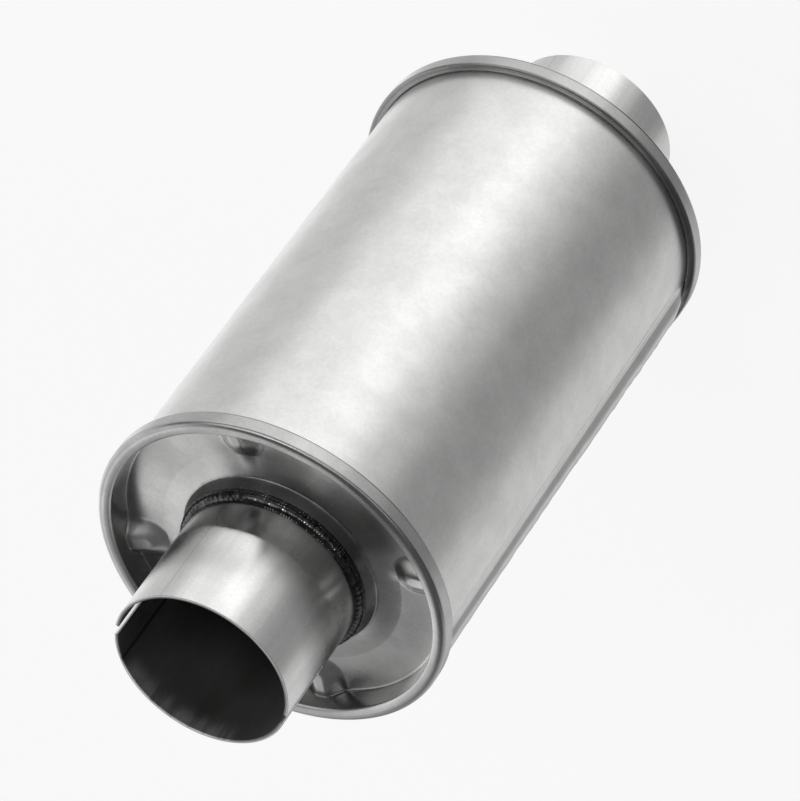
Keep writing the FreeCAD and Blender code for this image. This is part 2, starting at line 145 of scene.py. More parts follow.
def arc_points(start: Vector, end: Vector, radius: float, turn: int, step: float = 11.0) -> list[Vector]:
    """Points along an arc under half a circle.

    Args:
        start: First point, which is included.
        end: Last point, which is left to the next corner.
        radius: Radius of the arc.
        turn: 1 where the arc turns left and -1 where it turns right.
        step: Largest turn from point to point, in degrees.

    Returns:
        The points in order.
    """
    half = (end - start) * 0.5
    rise = math.sqrt(max(radius * radius - half.length_squared, 0.0))
    left = Vector((-half.y, half.x)).normalized()
    centre = start + half + left * rise * turn
    first = math.atan2(start.y - centre.y, start.x - centre.x)
    last = math.atan2(end.y - centre.y, end.x - centre.x)
    sweep = (last - first) * turn % (2 * math.pi) * turn
    count = max(2, math.ceil(abs(math.degrees(sweep)) / step))
    turns = [first + sweep * index / count for index in range(count)]
    return [centre + Vector((math.cos(angle), math.sin(angle))) * radius for angle in turns]


def trace(corners: list[tuple], support: float = 0.12, longest: float = 1e9) -> list[Vector]:
    """Closed outline from its corners, with points close to each corner that keep flats flat.

    Args:
        corners: (across, up), or (across, up, arc radius, turn) where an arc runs to the next corner.
        support: Distance of the close points from a corner.
        longest: Longest straight step between two points.

    Returns:
        The outline's points in order.
    """
    points: list[Vector] = []
    for corner, following in zip(corners, corners[1:] + corners[:1]):
        start, end = Vector(corner[:2]), Vector(following[:2])
        if len(corner) == 4:
            points += arc_points(start, end, corner[2], corner[3])
            continue
        points.append(start)
        run = end - start
        if run.length <= 4 * support:
            continue
        unit = run.normalized()
        steps = max(1, math.ceil(run.length / longest))
        inner = spread(support, run.length - support, steps + 1)
        points += [start + unit * reach for reach in inner]
    return points


def closed_grid(name: str, rows: list[list[Vector]]) -> Piece:
    """Solid whose rows are closed rings and whose columns close on themselves too.

    Args:
        name: Name of the new piece.
        rows: Rings of points, in metres, all of one length.

    Returns:
        The piece, smooth shaded, with its faces outwards.
    """
    mesh = bpy.data.meshes.new(name)
    width = len(rows[0])
    faces = []
    for row in range(len(rows)):
        under = (row + 1) % len(rows)
        for column in range(width):
            beside = (column + 1) % width
            faces.append((row * width + column, row * width + beside,
                          under * width + beside, under * width + column))
    mesh.from_pydata([tuple(point) for ring in rows for point in ring], [], faces)
    piece = linked(name, mesh)
    sharpen(piece)
    return piece


def linked(name: str, data: bpy.types.ID) -> Piece:
    """New object of some data, put into the scene."""
    piece = bpy.data.objects.new(name, data)
    bpy.context.scene.collection.objects.link(piece)
    return piece


def mesh_of(form: bmesh.types.BMesh, name: str) -> bpy.types.Mesh:
    """New mesh of a form, which is freed."""
    mesh = bpy.data.meshes.new(name)
    form.to_mesh(mesh)
    form.free()
    return mesh


def noded(name: str) -> tuple[Finish, "Wiring", bpy.types.Node]:
    """New material with its tree's wiring and its shader."""
    material = bpy.data.materials.new(name)
    material.use_nodes = True
    return material, Wiring(material.node_tree), material.node_tree.nodes["Principled BSDF"]


def sharpen(piece: Piece, angle: float = 180.0) -> None:
    """Turn a piece's faces outwards, and keep its edges sharp past an angle and smooth below it."""
    form = bmesh.new()
    form.from_mesh(piece.data)
    bmesh.ops.recalc_face_normals(form, faces=form.faces)
    for edge in form.edges:
        edge.smooth = angle >= 180 or edge.calc_face_angle(0.0) < math.radians(angle)
    for face in form.faces:
        face.smooth = True
    form.to_mesh(piece.data)
    form.free()


def applied(piece: Piece) -> Piece:
    """Turn a piece's modifiers into its plain mesh.

    Args:
        piece: Object with live modifiers.

    Returns:
        The same object without modifiers.
    """
    graph = bpy.context.evaluated_depsgraph_get()
    graph.update()
    mesh = bpy.data.meshes.new_from_object(piece.evaluated_get(graph), depsgraph=graph)
    piece.modifiers.clear()
    piece.data = mesh
    return piece


class Wiring:
    """Short way to add and join the nodes of one tree."""

    def __init__(self, tree: bpy.types.NodeTree) -> None:
        """Keep the tree."""
        self.tree = tree

    def add(self, kind: str, inputs: dict | None = None, **settings: object) -> bpy.types.Node:
        """Add a node.

        Args:
            kind: Its class name.
            inputs: Values or sockets for its inputs, by name or number.
            settings: Its own properties.

        Returns:
            The node.
        """
        node = self.tree.nodes.new(kind)
        for name, setting in settings.items():
            setattr(node, name, setting)
        for key, value in (inputs or {}).items():
            self.feed(node.inputs[key], value)
        return node

    def feed(self, socket: Socket, value: object) -> None:
        """Link a socket to an input, or set the input's own value."""
        if isinstance(value, Socket):
            self.tree.links.new(value, socket)
        else:
            socket.default_value = value

    def math(self, operation: str, *values: object) -> Socket:
        """Result of one Math node."""
        return self.add("ShaderNodeMath", dict(enumerate(values)), operation=operation).outputs[0]

    def times(self, first: object, *others: object) -> Socket:
        """Product of values."""
        for other in others:
            first = self.math("MULTIPLY", first, other)
        return first

    def plus(self, first: object, *others: object) -> Socket:
        """Sum of values."""
        for other in others:
            first = self.math("ADD", first, other)
        return first

    def minus(self, value: object, taken: object) -> Socket:
        """Difference of two values."""
        return self.math("SUBTRACT", value, taken)

    def apart(self, value: object, other: object) -> Socket:
        """Distance between two values."""
        return self.math("ABSOLUTE", self.minus(value, other))

    def fade(self, value: object, low: float, high: float, to_low: float, to_high: float) -> Socket:
        """Eased ramp whose range is in millimetres."""
        return self.ramp(value, low * MM, high * MM, to_low, to_high)

    def beside(self, angle: object, middle: float, half: float, fade: float, rest: float = 0.0) -> Socket:
        """One within half a width of an angle, fading to a rest over some degrees more."""
        return self.ramp(self.apart(angle, middle), half, half + fade, 1.0, rest)

    def masked(self, mask: object, share: object) -> Socket:
        """One where a mask is 0, and a share where it is 1."""
        return self.plus(self.times(mask, self.minus(share, 1.0)), 1.0)

    def toned(self, mask: object, share: float) -> Socket:
        """One where a mask is 0, and a share where it is 1, eased between them."""
        return self.ramp(mask, 0.0, 1.0, 1.0, share)

    def ramp(self, value: object, low: float, high: float, to_low: float, to_high: float) -> Socket:
        """Map a value from one range to another, eased at both ends and held past them.

        Args:
            value: Socket to read.
            low: Where the range starts.
            high: Where the range ends.
            to_low: Result at the start.
            to_high: Result at the end.

        Returns:
            The mapped value.
        """
        inputs = dict(enumerate((value, low, high, to_low, to_high)))
        return self.add("ShaderNodeMapRange", inputs, interpolation_type="SMOOTHSTEP").outputs[0]

    def noise(self, place: object, scale: float, detail: float = 3.0, roughness: float = 0.5) -> Socket:
        """Noise from 0 to 1 at a place."""
        inputs = {"Vector": place, "Scale": scale, "Detail": detail, "Roughness": roughness}
        return self.add("ShaderNodeTexNoise", inputs).outputs[0]

    def tinted(self, level: object, tint: tuple[float, float, float]) -> Socket:
        """Colour of a brightness times a tint."""
        parts = [self.times(level, share) for share in tint]
        return self.add("ShaderNodeCombineColor", dict(enumerate(parts))).outputs[0]

    def round_place(self, place: object) -> tuple[Socket, ...]:
        """Distance from the axis, angle about it in degrees from -Y towards +X, and height."""
        across, forward, height = self.add("ShaderNodeSeparateXYZ", {0: place}).outputs
        squares = self.plus(self.times(across, across), self.times(forward, forward))
        turn = self.math("ARCTAN2", across, self.times(forward, -1.0))
        return self.math("SQRT", squares), self.times(turn, 180 / math.pi), height

    def stretched(self, place: object, across: float, along: float) -> Socket:
        """Place with its own scale across and along the axis."""
        inputs = {"Vector": place, "Scale": (across, across, along)}
        return self.add("ShaderNodeMapping", inputs).outputs[0]


@dataclass(frozen=True)
class Metal:
    """Finish of one kind of bare metal.

    The colour and the roughness drift with a soft mottle, and the surface has a fine grain and a
    slow unevenness, all on the piece's own coordinates.
    """

    name: str
    shade: float
    roughness: float
    mottle: float = 0.06
    mottle_scale: float = 90.0
    rough_drift: float = 0.06
    grain_scale: float = 1400.0
    grain_depth: float = 0.0000012
    swell_scale: float = 28.0
    swell_depth: float = 0.00002
    grain_along: float = 1.0
    speckle: float = 0.03
    tint: tuple[float, float, float] = (1.0, 0.997, 0.99)

    def material(self) -> Finish:
        """Build the finish.

        Returns:
            A node material.
        """
        material, wiring, shader = noded(self.name)
        place = wiring.add("ShaderNodeTexCoord").outputs["Object"]
        blotches = wiring.noise(place, self.mottle_scale, 5.0, 0.6)
        level = self.shade_level(wiring, place, blotches)
        wiring.feed(shader.inputs["Base Color"], wiring.tinted(level, self.tint))
        wiring.feed(shader.inputs["Roughness"], self.roughness_level(wiring, place))
        shader.inputs["Metallic"].default_value = 1.0
        grain_place = wiring.stretched(place, 1.0, self.grain_along)
        swell = wiring.add("ShaderNodeBump", {"Height": wiring.noise(place, self.swell_scale, 2.0),
                                              "Distance": self.swell_depth, "Strength": 1.0})
        self.lean(wiring, place, swell)
        grain = wiring.add("ShaderNodeBump", {"Height": wiring.noise(grain_place, self.grain_scale, 2.0),
                                              "Distance": self.grain_depth, "Strength": 1.0,
                                              "Normal": swell.outputs[0]})
        wiring.feed(shader.inputs["Normal"], grain.outputs[0])
        return material

    def lean(self, wiring: Wiring, place: Socket, swell: bpy.types.Node) -> None:
        """Lean the surface's normal before the swell; plain metal has none."""

    def shade_level(self, wiring: Wiring, place: Socket, blotches: Socket) -> Socket:
        """Brightness of the metal with its mottle and a fine speckle."""
        low, high = self.shade * (1 - self.mottle), self.shade * (1 + self.mottle)
        level = wiring.ramp(blotches, 0.3, 0.7, low, high)
        speckle_and_glints = wiring.noise(place, self.grain_scale * 0.5, 2.0)
        return wiring.times(level, wiring.ramp(speckle_and_glints, 0.3, 0.7, 1 - self.speckle, 1 + self.speckle))

    def roughness_level(self, wiring: Wiring, place: Socket) -> Socket:
        """Roughness with its slow drift."""
        drift = wiring.noise(place, self.mottle_scale * 0.45, 4.0)
        low, high = self.roughness - self.rough_drift, self.roughness + self.rough_drift
        return wiring.ramp(drift, 0.3, 0.7, low, high)


@dataclass(frozen=True)
class RingMetal(Metal):
    """Pressed sheet: hot and dark at the weld, rougher on its crest, with painted shade on its flat's near
    side, rim side and curl, painted light and shade up its wall and a painted highlight on its crest.
    """

    hot_radius: float = 36.6
    cool_radius: float = 38.6
    hot_share: float = 0.42
    edge_drift: float = 3.0
    # Painted shade: the flat is darker on its near side, inside these radii, where it mirrors the dark
    # collar.
    stain_angle: float = 8.0
    stain_half: float = 36.0
    stain_fade: float = 18.0
    stain_from: float = 47.0
    stain_to: float = 54.0
    stain_share: float = 0.6
    # Painted light and shade up the inner wall: lighter on its near half, darker on its far half.
    wall_from: float = 60.4
    wall_to: float = 62.0
    wall_share: float = 0.42
    near_wall_share: float = 1.45
    near_wall_half: float = 90.0
    near_wall_fade: float = 16.0
    edge: float = 0.4
    crest_to: float = 65.2
    crest_drop: float = 2.0
    # Painted highlight: the crest's colour is lighter; its roughness is higher too.
    crest_share: float = 1.15
    crest_roughness: float = 0.12
    # Painted shade on the rim's outer side.
    side_share: float = 0.76
    # Painted shade on the bottom of the rim's curl, where it meets the shell.
    curl_drop: float = 6.2
    curl_fade: float = 0.6
    curl_share: float = 0.7
    middle: float = 152.55
    rim_stand: float = 106.15

    def shade_level(self, wiring: Wiring, place: Socket, blotches: Socket) -> Socket:
        """Mottled shade times the share of each zone."""
        radius, angle, height = wiring.round_place(place)
        edge, stand = self.edge, self.stand(wiring, height)
        loose = wiring.plus(radius, wiring.times(wiring.minus(blotches, 0.5), self.edge_drift * MM))
        hot = wiring.fade(loose, self.hot_radius, self.cool_radius, self.hot_share, 1.0)
        # Painted shade on the flat's near side.
        near = wiring.beside(angle, self.stain_angle, self.stain_half, self.stain_fade)
        inner = wiring.fade(loose, self.stain_from, self.stain_to, 1.0, 0.0)
        painted_shade = wiring.toned(wiring.times(near, inner), self.stain_share)
        # Painted light on the wall's near half and painted shade on its far half.
        far = wiring.ramp(wiring.math("ABSOLUTE", angle), self.near_wall_half,
                          self.near_wall_half + self.near_wall_fade, self.near_wall_share, self.wall_share)
        wall = wiring.times(wiring.fade(radius, self.wall_from, self.wall_from + 2 * edge, 0.0, 1.0),
                            wiring.fade(radius, self.wall_to, self.wall_to + 0.75 * edge, 1.0, 0.0))
        # Painted shade on the rim's outer side.
        side = wiring.fade(radius, self.crest_to, self.crest_to + edge, 1.0, self.side_share)
        # Painted highlight on the rim's crest.
        crest = wiring.toned(self.crest(wiring, radius, height), self.crest_share)
        # Painted shade on the bottom of the rim's curl, where it meets the shell.
        curl = self.rim_stand - self.curl_drop
        low = wiring.fade(stand, curl, curl + self.curl_fade, 1.0, 0.0)
        outer = wiring.fade(radius, self.wall_to + 2.5 * edge, self.wall_to + 3.5 * edge, 0.0, 1.0)
        below = wiring.toned(wiring.times(low, outer), self.curl_share)
        level = super().shade_level(wiring, place, blotches)
        return wiring.times(level, hot, painted_shade, wiring.masked(wall, far), side, crest, below)

    def roughness_level(self, wiring: Wiring, place: Socket) -> Socket:
        """Roughness that is higher on the rubbed crest."""
        radius, _, height = wiring.round_place(place)
        more = wiring.times(self.crest(wiring, radius, height), self.crest_roughness)
        return wiring.plus(super().roughness_level(wiring, place), more)

    def stand(self, wiring: Wiring, height: Socket) -> Socket:
        """Distance from the muffler's middle along its axis."""
        return wiring.apart(height, self.middle * MM)

    def crest(self, wiring: Wiring, radius: Socket, height: Socket) -> Socket:
        """One on the crest of a rim, zero elsewhere."""
        start = self.wall_to + 0.75 * self.edge
        top = self.rim_stand - self.crest_drop
        return wiring.times(wiring.fade(radius, start, start + self.edge, 0.0, 1.0),
                            wiring.fade(radius, self.crest_to - self.edge, self.crest_to, 1.0, 0.0),
                            wiring.fade(self.stand(wiring, height), top, top + 2 * self.edge, 0.0, 1.0))


@dataclass(frozen=True)
class SeamedMetal(Metal):
    """Rolled sheet whose lock seam has painted shade along its sloping side and is lighter on its top."""

    foot_radius: float = 64.1
    top_radius: float = 64.7
    slope_from: float = -77.8
    slope_to: float = -75.4
    # Painted shade on the seam's sloping side.
    slope_share: float = 0.47
    top_share: float = 0.97
    twist: float = 1.4
    twist_low: float = 75.0
    twist_high: float = 200.0

    def shade_level(self, wiring: Wiring, place: Socket, blotches: Socket) -> Socket:
        """Mottled shade, with painted shade along the seam's sloping side and lighter on its top."""
        level = super().shade_level(wiring, place, blotches)
        radius, angle, height = wiring.round_place(place)
        angle = wiring.plus(angle, wiring.fade(height, self.twist_low, self.twist_high, self.twist, 0.0))
        # Painted shade along the seam's sloping side, lighter towards its top.
        raised = wiring.fade(radius, self.foot_radius, self.top_radius, 0.0, 1.0)
        side = wiring.ramp(angle, self.slope_from, self.slope_to, self.top_share, self.slope_share)
        return wiring.times(level, wiring.masked(raised, side))


@dataclass(frozen=True)
class TubeMetal(Metal):
    """Drawn tube: faint lines along it, a heat band at its weld, a welded seam, a duller bore and painted
    light inside its mouth.
    """

    heat_level: float = 0.0
    heat_reach: float = 12.0
    heat_share: float = 0.75
    heat_drift: float = 5.0
    scorch_angle: float = 44.0
    scorch_half: float = 20.0
    scorch_reach: float = 13.6
    scorch_share: float = 0.5
    fade_angle: float = 14.0
    flare: float = 0.0
    flare_angle: float = 37.0
    flare_half: float = 14.0
    flare_reach: float = 32.0
    flare_rest: float = 0.28
    line_scale: float = 520.0
    line_strength: float = 0.025
    bore_radius: float = 32.5
    bore_share: float = 0.5
    bore_roughness: float = 0.5
    mouth_level: float = 0.0
    # Painted light: the far side of the bore is lighter, in streaks, near the mouth.
    worn_angle: float = 172.0
    worn_half: float = 26.0
    worn_fade: float = 16.0
    worn_depth: float = 11.0
    worn_share: float = 1.25
    streak_scale: float = 260.0
    seam_angle: float = 50.0
    seam_depth: float = 0.14
    bore_seam_angle: float = 131.0
    bore_seam_depth: float = 0.6
    bore_seam_wider: float = 2.4
    seam_core: float = 0.3
    seam_half_width: float = 0.8

    def outside(self, wiring: Wiring, radius: Socket) -> Socket:
        """One on the tube's outside, zero in its bore."""
        return wiring.math("GREATER_THAN", radius, self.bore_radius * MM)

    def shade_level(self, wiring: Wiring, place: Socket, blotches: Socket) -> Socket:
        """Shade with the drawing lines, the heat band, the seam's line, the dull bore and painted light in
        streaks inside the mouth.
        """
        radius, angle, height = wiring.round_place(place)
        lines = wiring.noise(wiring.stretched(place, 1.0, 0.03), self.line_scale, 3.0)
        drawn = wiring.ramp(lines, 0.35, 0.65, 1 - self.line_strength, 1 + self.line_strength)
        away = wiring.plus(wiring.apart(height, self.heat_level * MM),
                           wiring.times(wiring.minus(blotches, 0.5), self.heat_drift * MM))
        heat = wiring.fade(away, 0.0, self.heat_reach, self.heat_share, 1.0)
        side = wiring.beside(angle, self.scorch_angle, self.scorch_half, self.fade_angle)
        close = wiring.fade(away, self.scorch_reach - 2.2, self.scorch_reach + 1.8, 1.0, 0.0)
        scorch = wiring.toned(wiring.times(side, close), self.scorch_share)
        level = wiring.times(super().shade_level(wiring, place, blotches), drawn, heat, scorch)
        outside = self.outside(wiring, radius)
        inside = wiring.minus(1.0, outside)
        for spot, share, depth, wider in ((self.seam_angle, outside, self.seam_depth, 1.0),
                                          (self.bore_seam_angle, inside, self.bore_seam_depth,
                                           self.bore_seam_wider)):
            line = wiring.ramp(wiring.apart(angle, spot), self.seam_core * wider,
                               self.seam_half_width * wider, depth, 0.0)
            level = wiring.times(level, wiring.minus(1.0, wiring.times(line, share)))
        # Painted light on the bore's far side near the mouth, broken into streaks.
        streaks = wiring.noise(wiring.stretched(place, 1.0, 0.08), self.streak_scale, 3.0)
        lit_bore = wiring.times(
            wiring.fade(wiring.apart(height, self.mouth_level * MM), 0.0, self.worn_depth, 1.0, 0.0),
            wiring.beside(wiring.math("ABSOLUTE", angle), self.worn_angle, self.worn_half, self.worn_fade),
            wiring.ramp(streaks, 0.4, 0.62, 1.0, 0.35))
        bore = wiring.ramp(lit_bore, 0.0, 1.0, self.bore_share, self.worn_share)
        return wiring.times(level, wiring.plus(outside, wiring.times(inside, bore)))

    def lean(self, wiring: Wiring, place: Socket, swell: bpy.types.Node) -> None:
        """Lean the outside's shading normal towards the mouth over the scorch, as if the tube flared out
        there; the mesh stays straight.
        """
        if not self.flare:
            return
        radius, angle, height = wiring.round_place(place)
        away = wiring.minus(height, self.heat_level * MM)
        share = wiring.times(wiring.fade(away, self.scorch_reach, self.flare_reach, self.flare, 0.0),
                             wiring.fade(away, self.scorch_reach - 1.5, self.scorch_reach, 0.0, 1.0),
                             wiring.beside(angle, self.flare_angle, self.flare_half, self.fade_angle,
                                           self.flare_rest),
                             self.outside(wiring, radius))
        up = wiring.add("ShaderNodeCombineXYZ", {"Z": share})
        normal = wiring.add("ShaderNodeTexCoord").outputs["Normal"]
        leaning = wiring.add("ShaderNodeVectorMath", {0: normal, 1: up.outputs[0]}, operation="ADD")
        unit = wiring.add("ShaderNodeVectorMath", {0: leaning.outputs[0]}, operation="NORMALIZE")
        wiring.feed(swell.inputs["Normal"], unit.outputs[0])

    def roughness_level(self, wiring: Wiring, place: Socket) -> Socket:
        """Roughness that is higher inside the bore."""
        inside = wiring.minus(1.0, self.outside(wiring, wiring.round_place(place)[0]))
        more = wiring.times(inside, self.bore_roughness - self.roughness)
        return wiring.plus(super().roughness_level(wiring, place), more)


@dataclass(frozen=True)
class WeldMetal(Metal):
    """Scaled black weld metal with rows of painted glints on one side."""

    # Painted glints: bright specks of colour in rows, mostly on the near side.
    speck_scale: float = 420.0
    speck_pitch: float = 1.75
    speck_width: float = 0.22
    speck_row: float = 0.95
    speck_height: float = 0.2
    speck_shade: float = 0.95
    speck_angle: float = 3.0
    speck_half: float = 26.0
    speck_fade: float = 10.0
    speck_rest: float = 0.1

    def shade_level(self, wiring: Wiring, place: Socket, blotches: Socket) -> Socket:
        """Dark shade with painted glints."""
        level = super().shade_level(wiring, place, blotches)
        _, angle, height = wiring.round_place(place)
        # Painted glints in rows, mostly on the bead's near side.
        speckle_and_glints = wiring.ramp(wiring.noise(place, self.speck_scale, 2.0), 0.5, 0.56, 0.0, self.speck_shade)
        for value, pitch, keep in ((angle, self.speck_pitch, self.speck_width),
                                   (height, self.speck_row * MM, self.speck_height)):
            off = wiring.apart(wiring.math("FRACT", wiring.math("DIVIDE", value, pitch)), 0.5)
            speckle_and_glints = wiring.times(speckle_and_glints, wiring.ramp(off, keep * 0.6, keep, 1.0, 0.0))
        near = wiring.beside(angle, self.speck_angle, self.speck_half, self.speck_fade, self.speck_rest)
        return wiring.math("MAXIMUM", level, wiring.times(speckle_and_glints, near))


@dataclass(frozen=True)
class Fibre:
    """Finish of packed fibre: pale strands with a soft relief."""

    name: str
    shade: tuple[float, float, float]
    metallic: float = 0.0
    strand_scale: float = 700.0

    def material(self) -> Finish:
        """Build the finish.

        Returns:
            A node material.
        """
        material, wiring, shader = noded(self.name)
        place = wiring.add("ShaderNodeTexCoord").outputs["Object"]
        strands = wiring.noise(wiring.stretched(place, 1.0, 0.15), self.strand_scale, 6.0, 0.7)
        level = wiring.ramp(strands, 0.3, 0.7, 0.7, 1.0)
        wiring.feed(shader.inputs["Base Color"], wiring.tinted(level, self.shade))
        shader.inputs["Metallic"].default_value = self.metallic
        wiring.feed(shader.inputs["Roughness"], wiring.ramp(strands, 0.3, 0.7, 0.95, 0.6))
        bump = wiring.add("ShaderNodeBump", {"Height": strands, "Distance": 0.0004, "Strength": 1.0})
        wiring.feed(shader.inputs["Normal"], bump.outputs[0])
        return material


SHELL_FINISH = SeamedMetal("satin_shell", 0.66, 0.33, mottle=0.05, rough_drift=0.03, swell_depth=0.000005)
HEAD_FINISH = RingMetal("pressed_head", 0.59, 0.28, swell_depth=0.00003, swell_scale=45.0)
WELD_FINISH = WeldMetal("weld_metal", 0.07, 0.17, mottle=0.6, mottle_scale=500.0, rough_drift=0.05,
                        grain_scale=1800.0, grain_depth=0.00001, swell_depth=0.00005, swell_scale=600.0)
INNER_FINISH = Metal("inner_sheet", 0.45, 0.40)
FIBRE_FINISH = Fibre("glass_fibre", (0.80, 0.78, 0.72))
WOOL_FINISH = Fibre("steel_wool", (0.42, 0.42, 0.42), metallic=1.0, strand_scale=1500.0)


def neck_finish(end: End, lip: float, mouth: float) -> TubeMetal:
    """Finish of one neck, with its heat band at the weld's level and the painted light in its bore at the
    mouth's.
    """
    return TubeMetal(f"{end.word}_neck_tube", 0.66, 0.26, mottle=0.03, grain_scale=2200.0, grain_along=0.04,
                     swell_depth=0.000015, heat_level=lip, mouth_level=mouth,
                     flare=0.17 if end is End.FRONT else 0.0)


def dress(piece: Piece, material: Finish, slot: str, *nodes: str) -> None:
    """Give a piece its material and its body, and hide the CAD nodes that it stands for.

    Args:
        piece: Finished piece at the origin.
        material: Its finish.
        slot: Not used.
        nodes: CAD nodes that the piece replaces.
    """
    piece.data.materials.clear()
    piece.data.materials.append(material)
    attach(piece, BODY)
    if nodes:
        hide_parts(*nodes)
    log.info("%s: %d faces, for %s", piece.name, len(piece.data.polygons), ", ".join(nodes) or "itself")


@dataclass(frozen=True)
class Sheets:
    """Radii and thicknesses that the shell and the heads share, in millimetres."""

    shell_radius: float = 63.8
    shell_sheet: float = 0.8
    seat_gap: float = 0.05
    rim_stand: float = 3.48
    rim_depth: float = 6.8
    head_sheet: float = 1.0
    hook_gap: float = 0.1
    neck_bore: float = 63.7
    neck_wall: float = 1.3
    collar_gap: float = 0.15

    @property
    def shell_bore(self) -> float:
        """Inside radius of the shell."""
        return self.shell_radius - self.shell_sheet

    @property
    def rim_radius(self) -> float:
        """Outside radius of the rolled rims."""
        return self.shell_radius + self.rim_stand

    @property
    def neck_radius(self) -> float:
        """Outside radius of the necks."""
        return self.neck_bore / 2 + self.neck_wall

    @property
    def lip_face(self) -> float:
        """Outside radius of a collar's lip."""
        return self.neck_radius + self.collar_gap + self.head_sheet


@dataclass
class Shell:
    """Wrapped shell with its hooked edges and the folded lock seam."""

    sheets: Sheets
    levels: Levels
    hook_depth: float = 3.4
    seam_angle: float = -76.3
    seam_width: float = 14.0
    seam_height: float = 2.15
    rear_gain: float = 0.45
    rear_twist: float = 1.4
    twist_from: float = 8.0
    twist_to: float = 18.0
    brow: float = -1.7
    fold: float = 4.4
    lip: float = 0.32
    edge_round: float = 0.5
    end_gap: float = 0.3
    ring_step: float = 2.0
    row_step: float = 2.4
    wave: float = 0.28
    ripple: float = 0.2

    def section(self) -> list[tuple[float, float]]:
        """Seam's outline across the shell, from its far side to its open side.

        Returns:
            (distance along the shell from the seam's middle, height above the shell) of each point.
        """
        half, top, edge = self.seam_width / 2, self.seam_height, self.edge_round
        soft = [(0.0, 1.0), (0.12, 0.62), (0.35, 0.3), (0.65, 0.09), (1.0, 0.0)]
        far = [(-half - 1.6, 0.0), (-half - 0.25, 0.0), (-half - 0.08, 0.2), (-half - 0.04, 0.7)]
        far += [(-half + edge * across, top - edge * down) for across, down in soft]
        flat = [(across, top) for across in spread(-half + 1.5, self.brow - 0.8, 5)]
        near = [(self.brow, top - 0.05), (self.brow + 0.7, top - 0.2)]
        start, high = self.brow + 0.7, top - 0.2
        near += [(start + share * (self.fold - start), high - share * (high - self.lip))
                 for share in spread(0.2, 1.0, 5)]
        fold = [(self.fold + 0.35, self.lip - 0.04), (self.fold + 0.6, self.lip * 0.45),
                (self.fold + 0.9, self.lip * 0.15)]
        foot = [(self.fold + 1.5, 0.0), (half - 0.2, 0.0), (half + 0.2, -0.12), (half + 0.6, 0.0),
                (half + 1.4, 0.0)]
        return far + flat + near + fold + foot

    def ring(self) -> list[tuple[float, float, float]]:
        """Columns round the shell.

        Returns:
            (angle on the plain wall, turn to the seam's place, height above the wall) of each column.
        """
        degrees = 180 / (math.pi * self.sheets.shell_radius)
        section = self.section()
        low, high = self.seam_angle + section[0][0] * degrees, self.seam_angle + section[-1][0] * degrees
        columns = []
        for angle, (across, height) in zip(spread(low, high, len(section)), section):
            columns.append((angle, self.seam_angle + across * degrees - angle, height))
        count = round((360 - (high - low)) / self.ring_step)
        for angle in spread(high, low + 360, count + 1)[1:-1]:
            columns.append((angle, 0.0, 0.0))
        return columns

    def profile(self) -> list[tuple[float, float, float, float]]:
        """Rows of the shell, as the wall, its hooks and its bore.

        Returns:
            (radius, level, share of the seam's height, share of its turn) of each row.
        """
        sheets = self.sheets
        hook_face = sheets.rim_radius - sheets.head_sheet - sheets.hook_gap
        hook_back = hook_face - sheets.shell_sheet
        roof = self.levels.front_rim - sheets.head_sheet - sheets.hook_gap
        floor = self.levels.rear_rim + sheets.head_sheet + sheets.hook_gap
        low = self.levels.rear_rim + sheets.rim_depth + self.end_gap
        high = self.levels.front_rim - sheets.rim_depth - self.end_gap
        corners = [(sheets.shell_bore, floor), (hook_face, floor), (hook_face, floor + self.hook_depth),
                   (hook_back, floor + self.hook_depth), (hook_back, floor + sheets.shell_sheet),
                   (sheets.shell_radius, floor + sheets.shell_sheet)]
        bottom = trace(corners)
        bottom = bottom[:bottom.index(Vector(corners[-1])) + 1]
        wall = [(low, 0.0), (low + 0.15, 0.3), (low + 0.8, 0.42), (low + 2, 0.55), (low + 4, 0.74),
                (low + 6.5, 0.9), (low + 9, 0.98)]
        count = round((high - low - 18) / self.row_step)
        wall += [(level, 1.0) for level in spread(low + 11, high - 7, count)]
        wall += [(high - 5, 0.96), (high - 3, 0.85), (high - 1.2, 0.7), (high - 0.3, 0.6), (high, 0.0)]
        middle = (roof + floor) / 2
        hooks = [(point.x, point.y, 0.0, 0.0) for point in bottom]
        rows = hooks + [(sheets.shell_radius, level, share, 1.0) for level, share in wall]
        return rows + [(radius, 2 * middle - level, 0.0, 0.0) for radius, level, *_ in reversed(hooks)]

    def build(self) -> Piece:
        """Make the shell's mesh, with the seam's back edge a little wavy."""
        rows = []
        columns = self.ring()
        degrees = 180 / (math.pi * self.sheets.shell_radius)
        front, rear = self.levels.front_rim, self.levels.rear_rim
        for radius, level, share, turned in self.profile():
            rearward = 1 - smooth(level, rear + 15, front - 45)
            share *= 1 + self.rear_gain * rearward
            sway = self.wave * share * (noise.noise(Vector((0.0, 3.1, level * 0.11))) * 2)
            lift = self.ripple * share * noise.noise(Vector((7.7, 0.0, level * 0.21)))
            ring = []
            for angle, turn, height in columns:
                place = angle + turned * turn
                far = height > 0 and place < self.seam_angle
                beside = abs((place - self.seam_angle + 180) % 360 - 180)
                carried = 1 - smooth(beside, self.twist_from, self.twist_to)
                shift = (sway if far else 0.0) - self.rear_twist * rearward * carried / degrees
                raised = height + (lift if far and height > 1 else 0.3 * lift if height > 1 else 0.0)
                ring.append(around(radius + share * raised, place + shift * degrees, level))
            rows.append(ring)
        return closed_grid("shell_wrap", rows)


